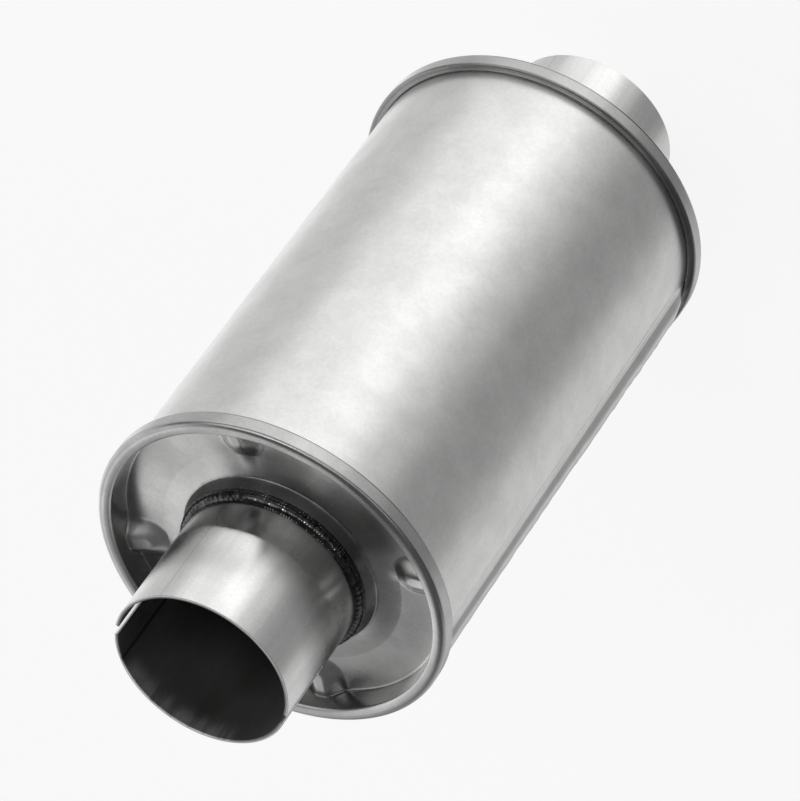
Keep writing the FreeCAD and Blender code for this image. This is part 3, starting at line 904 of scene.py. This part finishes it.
@dataclass
class Head:
    """Pressed head: collar, cone, flat, dimples, inner wall and the rolled rim."""

    sheets: Sheets
    levels: Levels
    end: End
    rim_round: float = 1.8
    rim_inner_round: float = 1.5
    curl_lip: float = 0.9
    curl_round: float = 0.85
    shell_sheet_gap: float = 0.1
    wall_lean: float = 0.55
    foot_round: float = 0.9
    cone_width: float = 8.7
    cone_round: float = 24.0
    crease_stand: float = 3.0
    crease_drop: float = 8.35
    crease_round: float = 1.2
    crease_out: tuple[float, float] = (0.425, -0.178)
    crease_in: tuple[float, float] = (-0.194, 0.417)
    collar_drop: float = 1.9
    dimple_radius: float = 8.3
    dimple_height: float = 3.3
    dimple_climb: float = 1.3
    dimple_inset: float = 7.5
    dimple_angles: tuple[float, ...] = (40.5, 130.5, 220.5, 310.5)
    dome: float = 0.55
    crown: float = 0.12
    coarse: float = 2.5
    fine: float = 0.6

    def corners(self) -> list[tuple]:
        """Outline of the pressing, with heights from the rim's top."""
        sheets, recess = self.sheets, self.levels.recess
        sheet = sheets.head_sheet
        lip_back = sheets.lip_face - sheet
        crease = sheets.lip_face + self.crease_stand
        flat = crease + self.cone_width
        wall_back = sheets.shell_bore - sheets.seat_gap
        wall_face = wall_back - sheet
        foot = wall_face - self.wall_lean
        rim = sheets.rim_radius
        curl = -sheets.rim_depth
        top_inner = wall_face + self.rim_inner_round
        top_outer = rim - self.rim_round
        crest = ((top_outer - top_inner) ** 2 / 4 + self.crown ** 2) / (2 * self.crown)
        return [
            (lip_back, -self.collar_drop),
            (crease - sheet, -self.crease_drop - sheet, self.cone_round + sheet, 1),
            (flat, -recess - sheet),
            (foot - self.foot_round, -recess - sheet, self.foot_round + sheet, 1),
            (foot + sheet, -recess + self.foot_round),
            (wall_back, -sheet - self.shell_sheet_gap - sheets.shell_sheet),
            (wall_back, -sheet),
            (rim - sheet, -sheet),
            (rim - sheet, curl + self.curl_lip),
            (sheets.shell_radius + sheets.seat_gap, curl + self.curl_lip),
            (sheets.shell_radius + sheets.seat_gap, curl + self.curl_round, self.curl_round, 1),
            (sheets.shell_radius + sheets.seat_gap + self.curl_round, curl),
            (rim - self.curl_lip, curl, self.curl_lip, 1),
            (rim, curl + self.curl_lip),
            (rim, -self.rim_round, self.rim_round, 1),
            (top_outer, -self.crown, crest, 1),
            (top_inner, -self.crown, self.rim_inner_round, 1),
            (wall_face, -self.rim_inner_round),
            (foot, -recess + self.foot_round, self.foot_round, -1),
            (foot - self.foot_round, -recess),
            (flat, -recess, self.cone_round, -1),
            (crease + self.crease_out[0], -self.crease_drop + self.crease_out[1], self.crease_round, -1),
            (crease + self.crease_in[0], -self.crease_drop + self.crease_in[1]),
            (sheets.lip_face, -self.collar_drop),
        ]

    def stations(self) -> list[float]:
        """Angles of the columns, close together across each dimple."""
        flat = self.sheets.lip_face + self.crease_stand + self.cone_width
        reach = math.degrees(self.dimple_radius / flat) + 3
        angles = []
        angle = 0.0
        while angle < 360 - 1e-6:
            near = any(abs(angle - centre) < reach for centre in self.dimple_angles)
            angles.append(angle)
            angle += self.fine if near else self.coarse
        return angles

    def pressed(self, radius: float, angle: float, depth: float) -> float:
        """Level of a point of the plain outline once the dimples are raised and the flat is domed.

        Args:
            radius: Distance from the axis.
            angle: Degrees about the axis.
            depth: Level below the rim's top.

        Returns:
            The new level below the rim's top.
        """
        crease = self.sheets.lip_face + self.crease_stand
        foot = self.sheets.shell_bore - self.sheets.seat_gap - self.sheets.head_sheet - self.wall_lean
        centre = foot - self.dimple_inset
        wall_top = -self.rim_inner_round
        wall_low = -self.levels.recess + self.foot_round
        keep = min(1.0, max(0.0, (wall_top - depth) / (wall_top - wall_low)))
        rise = self.dome * smooth(radius, crease - 1.2, crease + 4)
        rise *= 1 - smooth(radius, crease + 3, foot - 2)
        nearest = min(self.dimple_angles, key=lambda spot: abs((angle - spot + 180) % 360 - 180))
        swing = math.radians(angle - nearest)
        inward = max(0.0, centre - radius * math.cos(swing))
        away = math.hypot(inward, radius * math.sin(swing)) / self.dimple_radius
        climb = self.dimple_climb * smooth(radius, centre - 3, foot)
        return depth + keep * (rise + (self.dimple_height + climb) * (1 - smooth(away, 0.18, 1.1)))

    def build(self) -> Piece:
        """Make the head's mesh at its end of the muffler."""
        outline = trace(self.corners(), longest=0.8)
        rim = self.levels.rim(self.end)
        rows = []
        for point in outline:
            ring = []
            for angle in self.stations():
                inside = point.x < self.sheets.shell_bore and point.y < -self.rim_inner_round
                depth = self.pressed(point.x, angle, point.y) if inside else point.y
                ring.append(around(point.x, angle, rim + self.end.value * depth))
            rows.append(ring)
        return closed_grid(f"{self.end.word}_head_pressing", rows)


@dataclass
class Slot:
    """Clamp slot that is open at a neck's mouth."""

    angle: float
    width: float = 4.4
    length: float = 27.0


@dataclass
class Neck:
    """Slip-on neck, with clamp slots where it has them."""

    sheets: Sheets
    levels: Levels
    end: End
    slots: tuple[Slot, ...] = ()
    step: float = 3.0
    plain_top: float = 6.0
    edge_round: float = 0.16

    def columns(self) -> list[tuple[float, Slot | None, float]]:
        """Columns round the neck.

        Returns:
            (angle, the slot that the column is in, distance from that slot's middle) of each one.
        """
        radius = self.sheets.neck_radius
        found: list[tuple[float, Slot | None, float]] = []
        for slot in self.slots:
            half = slot.width / 2
            for turn in range(-90, 91, 15):
                across = half * math.sin(math.radians(turn))
                found.append(((slot.angle + math.degrees(across / radius)) % 360, slot, across))
        angle = 0.0
        while angle < 360 - 1e-6:
            gaps = [abs((angle - slot.angle + 180) % 360 - 180) - math.degrees(slot.width / 2 / radius)
                    for slot in self.slots]
            if all(gap > self.step * 0.4 for gap in gaps):
                found.append((angle, None, 0.0))
            angle += self.step
        return sorted(found, key=lambda column: column[0])

    def build(self) -> Piece:
        """Make the neck's mesh: an outside wall with its slots, made thick, with small round edges."""
        sign = self.end.value
        tip = self.levels.tip(self.end)
        inner_end = self.levels.neck_end(self.end)
        slot_length = self.slots[0].length if self.slots else self.plain_top
        half = self.slots[0].width / 2 if self.slots else 0.0
        shoulder = tip - sign * (slot_length - half)
        form = bmesh.new()
        low_rows, high_rows = 14, 8
        grid = []
        for angle, slot, across in self.columns():
            radius = self.sheets.neck_radius
            top = shoulder
            if slot is not None:
                top = shoulder - sign * math.sqrt(max(half * half - across * across, 0.0))
            low = [form.verts.new(around(radius, angle, level))
                   for level in spread(inner_end, top, low_rows)]
            high = []
            if slot is None or abs(abs(across) - half) < 1e-6:
                high = [form.verts.new(around(radius, angle, level))
                        for level in spread(shoulder, tip, high_rows)[1:]]
            grid.append((low, high))
        for (low, high), (next_low, next_high) in zip(grid, grid[1:] + grid[:1]):
            strips = [(low, next_low)]
            if high and next_high:
                strips.append(([low[-1]] + high, [next_low[-1]] + next_high))
            for here, beside in strips:
                for row in range(len(here) - 1):
                    form.faces.new((here[row], beside[row], beside[row + 1], here[row + 1]))
        if sign < 0:
            bmesh.ops.reverse_faces(form, faces=form.faces)
        name = f"{self.end.word}_neck_pipe"
        mesh = mesh_of(form, name)
        mesh.polygons.foreach_set("use_smooth", [True] * len(mesh.polygons))
        piece = linked(name, mesh)
        wall = piece.modifiers.new("wall", "SOLIDIFY")
        wall.thickness = self.sheets.neck_wall * MM
        wall.offset = -1.0
        edges = piece.modifiers.new("edges", "BEVEL")
        edges.width = self.edge_round * MM
        edges.segments = 3
        edges.limit_method = "ANGLE"
        edges.angle_limit = math.radians(50)
        edges.harden_normals = True
        return applied(piece)


def geometry_tree(name: str,
                  inputs: dict[str, tuple[str, object]]) -> tuple[bpy.types.NodeTree, Wiring, dict]:
    """Empty Geometry Nodes tree with named inputs.

    Args:
        name: Name of the tree.
        inputs: Socket type and default value of each input, by name.

    Returns:
        The tree, its wiring and its input sockets by name.
    """
    tree = bpy.data.node_groups.new(name, "GeometryNodeTree")
    tree.interface.new_socket(name="Geometry", in_out="INPUT", socket_type="NodeSocketGeometry")
    for label, (kind, default) in inputs.items():
        socket = tree.interface.new_socket(name=label, in_out="INPUT", socket_type=kind)
        if default is not None:
            socket.default_value = default
    tree.interface.new_socket(name="Geometry", in_out="OUTPUT", socket_type="NodeSocketGeometry")
    wiring = Wiring(tree)
    entry = wiring.add("NodeGroupInput")
    return tree, wiring, {socket.name: socket for socket in entry.outputs if socket.name}


def close_tree(wiring: Wiring, geometry: Socket, material: object) -> None:
    """End a tree in Realize Instances and Set Material."""
    real = wiring.add("GeometryNodeRealizeInstances", {0: geometry})
    painted = wiring.add("GeometryNodeSetMaterial", {"Geometry": real.outputs[0], "Material": material})
    exit_node = wiring.add("NodeGroupOutput")
    wiring.feed(exit_node.inputs[0], painted.outputs[0])


def run_tree(piece: Piece, tree: bpy.types.NodeTree, values: dict[str, object]) -> Piece:
    """Run a tree on a piece and keep the result as its mesh.

    Args:
        piece: Object that the tree reads.
        tree: Geometry Nodes tree.
        values: Settings of its inputs, by name.

    Returns:
        The piece with its new mesh.
    """
    modifier = piece.modifiers.new(tree.name, "NODES")
    modifier.node_group = tree
    names = {item.name: item.identifier for item in tree.interface.items_tree
             if item.item_type == "SOCKET" and item.in_out == "INPUT"}
    for label, value in values.items():
        modifier[names[label]] = value
    return applied(piece)


@dataclass
class WeldBead:
    """Weld that closes a collar against its neck: lapped ripples with spatter."""

    sheets: Sheets
    levels: Levels
    end: End
    rise: float = 2.1
    foot: float = 2.3
    bulge: float = 1.3
    lip_drop: float = 1.9
    lean: float = 0.465
    ripples: int = 96
    ripple_height: float = 0.2
    lap: float = 0.35
    lap_width: float = 2.2
    unevenness: float = 0.9
    front_share: float = 0.22
    sink: float = 0.75
    spatter: float = 5.0e5
    drop_radius: float = 0.16
    drop_sizes: tuple[float, float] = (0.45, 1.25)
    seed: int = 5

    def base(self) -> Piece:
        """Plain bead, closed round the neck."""
        sheets = self.sheets
        neck, lip = sheets.neck_radius, sheets.lip_face
        foot = lip + self.lean * self.foot
        chord = math.hypot(foot - neck, self.rise + self.foot)
        bow = (chord * chord / 4 + self.bulge ** 2) / (2 * self.bulge)
        outline = trace([(neck, -self.lip_drop), (lip, -self.lip_drop),
                         (foot, -self.lip_drop - self.foot, bow, 1), (neck, -self.lip_drop + self.rise)],
                        longest=0.5)
        rim = self.levels.rim(self.end)
        rows = [[around(point.x, angle, rim + self.end.value * point.y) for angle in spread(0, 359.25, 480)]
                for point in outline]
        return closed_grid(f"{self.end.word}_weld_bead", rows)

    def tree(self) -> bpy.types.NodeTree:
        """Tree that presses lapped ripples into the bead and scatters spatter on it.

        Returns:
            The tree, with inputs for the ripples, the spatter and the material.
        """
        tree, wiring, entry = geometry_tree(f"{self.end.word}_weld_ripples", {
            "Ripples": ("NodeSocketInt", self.ripples), "Height": ("NodeSocketFloat", 0.0),
            "Lip level": ("NodeSocketFloat", 0.0), "Lap": ("NodeSocketFloat", self.lap),
            "Neck radius": ("NodeSocketFloat", 0.0), "Spatter": ("NodeSocketFloat", self.spatter),
            "Seed": ("NodeSocketInt", self.seed), "Material": ("NodeSocketMaterial", None)})
        place = wiring.add("GeometryNodeInputPosition").outputs[0]
        parts = wiring.add("ShaderNodeSeparateXYZ", {0: place}).outputs
        angle = wiring.math("ARCTAN2", parts[0], wiring.times(parts[1], -1.0))
        turns = wiring.math("DIVIDE", angle, 2 * math.pi)
        across = wiring.math("DIVIDE", wiring.minus(parts[2], entry["Lip level"]), self.lap_width * MM)
        lag = wiring.times(across, across, entry["Lap"])
        uneven = wiring.noise(place, 260.0, 2.0)
        phase = wiring.plus(wiring.times(turns, entry["Ripples"]),
                            wiring.plus(lag, wiring.times(uneven, self.unevenness)))
        saw = wiring.math("FRACT", phase)
        hump = wiring.times(wiring.minus(1.0, saw), wiring.ramp(saw, 0.0, self.front_share, 0.0, 1.0))
        radius = wiring.math("SQRT", wiring.plus(wiring.times(parts[0], parts[0]),
                                                 wiring.times(parts[1], parts[1])))
        clear = wiring.fade(wiring.minus(radius, entry["Neck radius"]), 0.1, 0.9, 0.0, 1.0)
        rough = wiring.minus(wiring.noise(place, 1500.0, 3.0), 0.5)
        lift = wiring.times(wiring.plus(wiring.minus(hump, self.sink),
                                                   wiring.times(rough, self.unevenness)), entry["Height"])
        lift = wiring.times(lift, clear)
        normal = wiring.add("GeometryNodeInputNormal").outputs[0]
        offset = wiring.add("ShaderNodeVectorMath", {0: normal}, operation="SCALE")
        wiring.feed(offset.inputs["Scale"], lift)
        moved = wiring.add("GeometryNodeSetPosition", {
            "Geometry": entry["Geometry"], "Offset": offset.outputs[0]})
        bare = wiring.math("GREATER_THAN", clear, 0.5)
        points = wiring.add("GeometryNodeDistributePointsOnFaces", {
            "Mesh": moved.outputs[0], "Selection": bare, "Density": entry["Spatter"],
            "Seed": entry["Seed"]})
        drop = wiring.add("GeometryNodeMeshIcoSphere", {"Radius": self.drop_radius * MM, "Subdivisions": 1})
        size = wiring.add("FunctionNodeRandomValue", {"Seed": entry["Seed"], 2: self.drop_sizes[0],
                                                      3: self.drop_sizes[1]}, data_type="FLOAT")
        drops = wiring.add("GeometryNodeInstanceOnPoints", {
            "Points": points.outputs[0], "Instance": drop.outputs[0], "Scale": size.outputs[1]})
        joined = wiring.add("GeometryNodeJoinGeometry")
        wiring.feed(joined.inputs[0], moved.outputs[0])
        wiring.feed(joined.inputs[0], drops.outputs[0])
        shaded = wiring.add("GeometryNodeSetShadeSmooth", {"Geometry": joined.outputs[0]})
        close_tree(wiring, shaded.outputs[0], entry["Material"])
        return tree

    def build(self, material: Finish) -> Piece:
        """Make the bead with its ripples and spatter."""
        lip = self.levels.rim(self.end) - self.end.value * self.lip_drop
        return run_tree(self.base(), self.tree(), {
            "Ripples": self.ripples, "Height": self.ripple_height * MM, "Lip level": lip * MM,
            "Lap": self.lap, "Neck radius": self.sheets.neck_radius * MM, "Spatter": self.spatter,
            "Seed": self.seed, "Material": material})


@dataclass
class CoreTube:
    """Perforated core tube over the necks' inner ends."""

    sheets: Sheets
    levels: Levels
    gap: float = 0.1
    wall: float = 1.2
    lap: float = 14.0
    hole: float = 6.0
    around_count: int = 10
    middle_rings: int = 7
    pitch: float = 12.0
    end_pitch: float = 11.0
    end_margin: float = 6.0
    tile: float = 9.0
    arc_steps: int = 6

    @property
    def bore(self) -> float:
        """Inside radius of the core."""
        return self.sheets.neck_radius + self.gap

    def rings(self) -> list[float]:
        """Levels of the rings of perforations."""
        low, high = self.levels.neck_end(End.REAR), self.levels.neck_end(End.FRONT)
        middle = (low + high) / 2
        half = (self.middle_rings - 1) / 2
        levels = [middle + (index - half) * self.pitch for index in range(self.middle_rings)]
        for step in (self.end_margin, self.end_margin + self.end_pitch):
            levels += [low + step, high - step]
        return sorted(levels)

    def patch(self) -> Piece:
        """One sector of the wall with its hole, on both faces, at level 0."""
        half_turn = 180 / self.around_count
        steps = self.arc_steps
        sides = [-1 + 2 * index / steps for index in range(steps)]
        border = [(side, -1.0) for side in sides] + [(1.0, side) for side in sides]
        border += [(-side, 1.0) for side in sides] + [(-1.0, -side) for side in sides]
        form = bmesh.new()
        loops = []
        for radius in (self.bore, self.bore + self.wall):
            outer = [form.verts.new(around(radius, across * half_turn, up * self.tile / 2))
                     for across, up in border]
            hole = []
            for across, up in border:
                length = math.hypot(across, up)
                side = across / length * self.hole / 2
                hole.append(form.verts.new(around(radius, math.degrees(side / radius),
                                                  up / length * self.hole / 2)))
            loops.append((outer, hole))
        count = len(border)
        (inner_edge, inner_hole), (outer_edge, outer_hole) = loops
        for index in range(count):
            after = (index + 1) % count
            form.faces.new((outer_edge[index], outer_edge[after], outer_hole[after], outer_hole[index]))
            form.faces.new((inner_edge[after], inner_edge[index], inner_hole[index], inner_hole[after]))
            form.faces.new((outer_hole[index], outer_hole[after], inner_hole[after], inner_hole[index]))
        return linked("core_patch", mesh_of(form, "core_patch"))

    def bands(self) -> Piece:
        """Plain wall between the rings of holes, and the two ends."""
        low, high = self.levels.neck_end(End.REAR) - self.lap, self.levels.neck_end(End.FRONT) + self.lap
        cuts = [low]
        for level in self.rings():
            cuts += [level - self.tile / 2, level + self.tile / 2]
        cuts.append(high)
        form = bmesh.new()
        columns = self.around_count * self.arc_steps
        angles = [360 * index / columns for index in range(columns)]
        for foot, top in zip(cuts[::2], cuts[1::2]):
            rings = {}
            for radius in (self.bore, self.bore + self.wall):
                for level in (foot, top):
                    rings[radius, level] = [form.verts.new(around(radius, angle, level))
                                            for angle in angles]
            for index in range(columns):
                after = (index + 1) % columns
                for radius, flip in ((self.bore + self.wall, False), (self.bore, True)):
                    quad = [rings[radius, foot][index], rings[radius, foot][after],
                            rings[radius, top][after], rings[radius, top][index]]
                    form.faces.new(quad[::-1] if flip else quad)
                for level in (foot, top):
                    if level in (low, high):
                        form.faces.new((rings[self.bore, level][index], rings[self.bore, level][after],
                                        rings[self.bore + self.wall, level][after],
                                        rings[self.bore + self.wall, level][index]))
        return linked("core_pipe", mesh_of(form, "core_pipe"))

    def tree(self) -> bpy.types.NodeTree:
        """Tree that sets the patches in rings, every other one turned by half a step, between the bands."""
        tree, wiring, entry = geometry_tree("core_perforations", {
            "Patch": ("NodeSocketObject", None), "Rings": ("NodeSocketObject", None),
            "Holes in a ring": ("NodeSocketInt", 10), "Join distance": ("NodeSocketFloat", 2e-6),
            "Material": ("NodeSocketMaterial", None)})
        patch = wiring.add("GeometryNodeObjectInfo", {"Object": entry["Patch"]})
        rings = wiring.add("GeometryNodeObjectInfo", {"Object": entry["Rings"]})
        seats = wiring.add("GeometryNodeMeshLine", {"Count": entry["Holes in a ring"]})
        wiring.feed(seats.inputs["Offset"], (0.0, 0.0, 0.0))
        index = wiring.add("GeometryNodeInputIndex").outputs[0]
        step = wiring.math("DIVIDE", 2 * math.pi, entry["Holes in a ring"])
        turn = wiring.add("ShaderNodeCombineXYZ", {"Z": wiring.times(index, step)})
        ring = wiring.add("GeometryNodeInstanceOnPoints", {
            "Points": seats.outputs[0], "Instance": patch.outputs["Geometry"], "Rotation": turn.outputs[0]})
        odd = wiring.math("MODULO", index, 2.0)
        shift = wiring.times(odd, 0.5, step)
        half = wiring.add("ShaderNodeCombineXYZ", {"Z": shift})
        stack = wiring.add("GeometryNodeInstanceOnPoints", {
            "Points": rings.outputs["Geometry"], "Instance": ring.outputs[0], "Rotation": half.outputs[0]})
        joined = wiring.add("GeometryNodeJoinGeometry")
        wiring.feed(joined.inputs[0], entry["Geometry"])
        wiring.feed(joined.inputs[0], stack.outputs[0])
        real = wiring.add("GeometryNodeRealizeInstances", {0: joined.outputs[0]})
        merged = wiring.add("GeometryNodeMergeByDistance", {
            "Geometry": real.outputs[0], "Distance": entry["Join distance"]})
        close_tree(wiring, merged.outputs[0], entry["Material"])
        return tree

    def build(self, material: Finish) -> Piece:
        """Make the tube with all its perforations."""
        patch = self.patch()
        mesh = bpy.data.meshes.new("ring_levels")
        mesh.from_pydata([(0.0, 0.0, level * MM) for level in self.rings()], [], [])
        rings = linked("ring_levels", mesh)
        piece = run_tree(self.bands(), self.tree(), {
            "Patch": patch, "Rings": rings, "Holes in a ring": self.around_count, "Join distance": 2e-6,
            "Material": material})
        for helper in (patch, rings):
            bpy.data.objects.remove(helper)
        sharpen(piece, 40.0)
        return piece


@dataclass
class InnerParts:
    """Pieces sealed inside the shell, which keep their CAD shape and get a finish."""

    nodes: dict[str, Piece]

    def dress(self, steel: Finish, fibre: Finish, wool: Finish,
              weld: Finish) -> None:
        """Give every sealed piece its finish."""
        choice = {"packing": fibre, "wool": wool, "tacks": weld, "baffle": steel, "wrap": steel,
                  "wires": steel}
        for name, node in self.nodes.items():
            for word, material in choice.items():
                if word in name:
                    node.data.materials.clear()
                    node.data.materials.append(material)


@dataclass(frozen=True)
class Panel:
    """Bright or dark panel of the studio, seen only as the light it sends.

    Angles are in degrees: azimuth from the -Y side towards +X, and height above the horizon.
    """

    name: str
    azimuth: float
    half_width: float
    soft: float
    low: float
    high: float
    level: float
    height_soft: float = 12.0


@dataclass
class Studio:
    """Pale floor, soft light from all round, and the camera."""

    floor_shade: float = 0.94
    floor_own_light: float = 0.861
    floor_matt: float = 0.20
    low_level: float = 0.81
    high_level: float = 0.12
    darkest: float = 0.02
    elevation: float = 39.42
    roll: float = 215.53
    lens: float = 223.86
    camera_place: tuple[float, float, float] = (-0.0018, -1.3625, 1.2817)
    panels: tuple[Panel, ...] = (
        Panel("front strip", 20, 5, 19, -90, 5, 0.36),
        Panel("left field", 38, 28, 22, -90, 5, 0.46),
        Panel("right flag", -58, 17, 29, -90, 5, -0.43),
        Panel("left flag", 98, 4, 10, -90, 5, -0.08),
        Panel("left edge", 167, 7, 34, -90, 5, 0.50),
        Panel("back flag", -170, 8, 14, -90, 5, -0.60),
        Panel("nadir flag", 0, 180, 10, -90, -66, -0.55, 8),
        Panel("back box", 145, 27, 18, 0, 48, 0.85, 8),
        Panel("low right box", -140, 30, 18, 2, 27, 0.42, 8),
        Panel("front left box", 68, 14, 12, 26, 50, 1.05, 8),
        Panel("camera side", 0, 35, 20, 27, 44, 0.46, 8),
        Panel("crease box", 30, 22, 9, 39, 50, 1.5, 3),
    )

    def light(self) -> None:
        """Build the world: soft panels that the metal reflects, and a plain pale backdrop."""
        world = bpy.data.worlds.new("studio")
        bpy.context.scene.world = world
        world.use_nodes = True
        tree = world.node_tree
        wiring = Wiring(tree)
        way = wiring.add("ShaderNodeTexCoord").outputs["Generated"]
        parts = wiring.add("ShaderNodeSeparateXYZ", {0: way}).outputs
        height = wiring.times(wiring.math("ARCSINE", parts[2]), 180 / math.pi)
        level = wiring.ramp(height, -8.0, 8.0, self.low_level, self.high_level)
        for panel in self.panels:
            level = wiring.plus(level, self.panel_light(wiring, parts, height, panel))
        level = wiring.math("MAXIMUM", level, self.darkest)
        background = tree.nodes["Background"]
        studio = wiring.add("ShaderNodeBackground", {"Color": (1.0, 1.0, 1.0, 1.0), "Strength": level})
        plain = wiring.add("ShaderNodeBackground", {"Color": (self.floor_shade,) * 3 + (1.0,)})
        path = wiring.add("ShaderNodeLightPath")
        mix = wiring.add("ShaderNodeMixShader", {0: path.outputs["Is Camera Ray"], 1: studio.outputs[0],
                                                 2: plain.outputs[0]})
        wiring.feed(tree.nodes["World Output"].inputs["Surface"], mix.outputs[0])

    def panel_light(self, wiring: Wiring, parts: object, height: object, panel: Panel) -> Socket:
        """Light of one panel in the direction that is looked up."""
        turn = math.radians(panel.azimuth)
        towards = wiring.plus(wiring.times(parts[0], math.sin(turn)),
                              wiring.times(parts[1], -math.cos(turn)))
        flat = wiring.math("MAXIMUM", wiring.minus(1.0, wiring.times(parts[2], parts[2])), 1e-6)
        share = wiring.math("DIVIDE", towards, wiring.math("SQRT", flat))
        share = wiring.math("MINIMUM", wiring.math("MAXIMUM", share, -1.0), 1.0)
        away = wiring.times(wiring.math("ARCCOSINE", share), 180 / math.pi)
        across = wiring.ramp(away, panel.half_width, panel.half_width + panel.soft, 1.0, 0.0)
        above = wiring.ramp(height, panel.low - panel.height_soft, panel.low, 0.0, 1.0)
        below = wiring.ramp(height, panel.high, panel.high + panel.height_soft, 1.0, 0.0)
        up = wiring.times(above, below)
        return wiring.times(across, up, panel.level)

    def floor(self) -> None:
        """Lay the pale floor, which keeps the muffler's shadow."""
        form = bmesh.new()
        bmesh.ops.create_circle(form, cap_ends=True, segments=96, radius=6.0)
        floor = linked("floor", mesh_of(form, "floor"))
        floor.location.z = CAD_BOX[0][2] - 0.0002
        floor.visible_glossy = False
        material, wiring, shader = noded("pale_floor")
        tree = material.node_tree
        tree.nodes.remove(shader)
        matt = wiring.add("ShaderNodeBsdfDiffuse", {"Color": (self.floor_matt,) * 3 + (1.0,)})
        own = wiring.add("ShaderNodeEmission", {"Color": (1.0, 1.0, 1.0, 1.0),
                                                "Strength": self.floor_own_light})
        both = wiring.add("ShaderNodeAddShader", {0: matt.outputs[0], 1: own.outputs[0]})
        wiring.feed(tree.nodes["Material Output"].inputs["Surface"], both.outputs[0])
        floor.data.materials.append(material)

    def camera(self) -> None:
        """Set the camera at the photograph's angle, in front, above and rolled."""
        elevation, roll = math.radians(self.elevation), math.radians(self.roll)
        backwards = Vector((0.0, -math.cos(elevation), math.sin(elevation)))
        level_right = Vector((1.0, 0.0, 0.0))
        level_up = backwards.cross(level_right)
        right = level_right * math.cos(roll) + level_up * math.sin(roll)
        up = level_up * math.cos(roll) - level_right * math.sin(roll)
        data = bpy.data.cameras.new("photo_camera")
        data.sensor_fit = "HORIZONTAL"
        data.sensor_width = 36.0
        data.lens = self.lens
        data.clip_end = 50.0
        camera = linked("photo_camera", data)
        place = Matrix((right, up, backwards)).transposed().to_4x4()
        place.translation = Vector(self.camera_place)
        camera.matrix_world = place
        bpy.context.scene.camera = camera


def main() -> None:
    """Build every piece, light it and set the camera."""
    logging.basicConfig(level=logging.INFO, format="%(name)s: %(message)s")
    sheets, levels = Sheets(), Levels.from_frame()
    steel, weld = INNER_FINISH.material(), WELD_FINISH.material()
    head_metal = HEAD_FINISH.material()
    dress(Shell(sheets, levels).build(), SHELL_FINISH.material(), "shell_steel", "outer_shell")
    clamp_slots = (Slot(107.0), Slot(278.0))
    for end in End:
        lip = levels.rim(end)
        dress(Head(sheets, levels, end).build(), head_metal, "head_steel", f"{end.word}_head")
        slots = clamp_slots if end is End.FRONT else ()
        dress(Neck(sheets, levels, end, slots).build(), neck_finish(end, lip, levels.tip(end)).material(),
              "neck_steel", f"{end.word}_neck")
        dress(WeldBead(sheets, levels, end).build(weld), weld, "weld_metal", f"{end.word}_neck_weld")
    dress(CoreTube(sheets, levels).build(steel), steel, "inner_steel", "core_tube")
    InnerParts(frame["nodes"]).dress(steel, FIBRE_FINISH.material(), WOOL_FINISH.material(), weld)
    studio = Studio()
    studio.light()
    studio.floor()
    studio.camera()
    bpy.context.scene.view_settings.view_transform = "Standard"


if __name__ == "__main__":
    main()
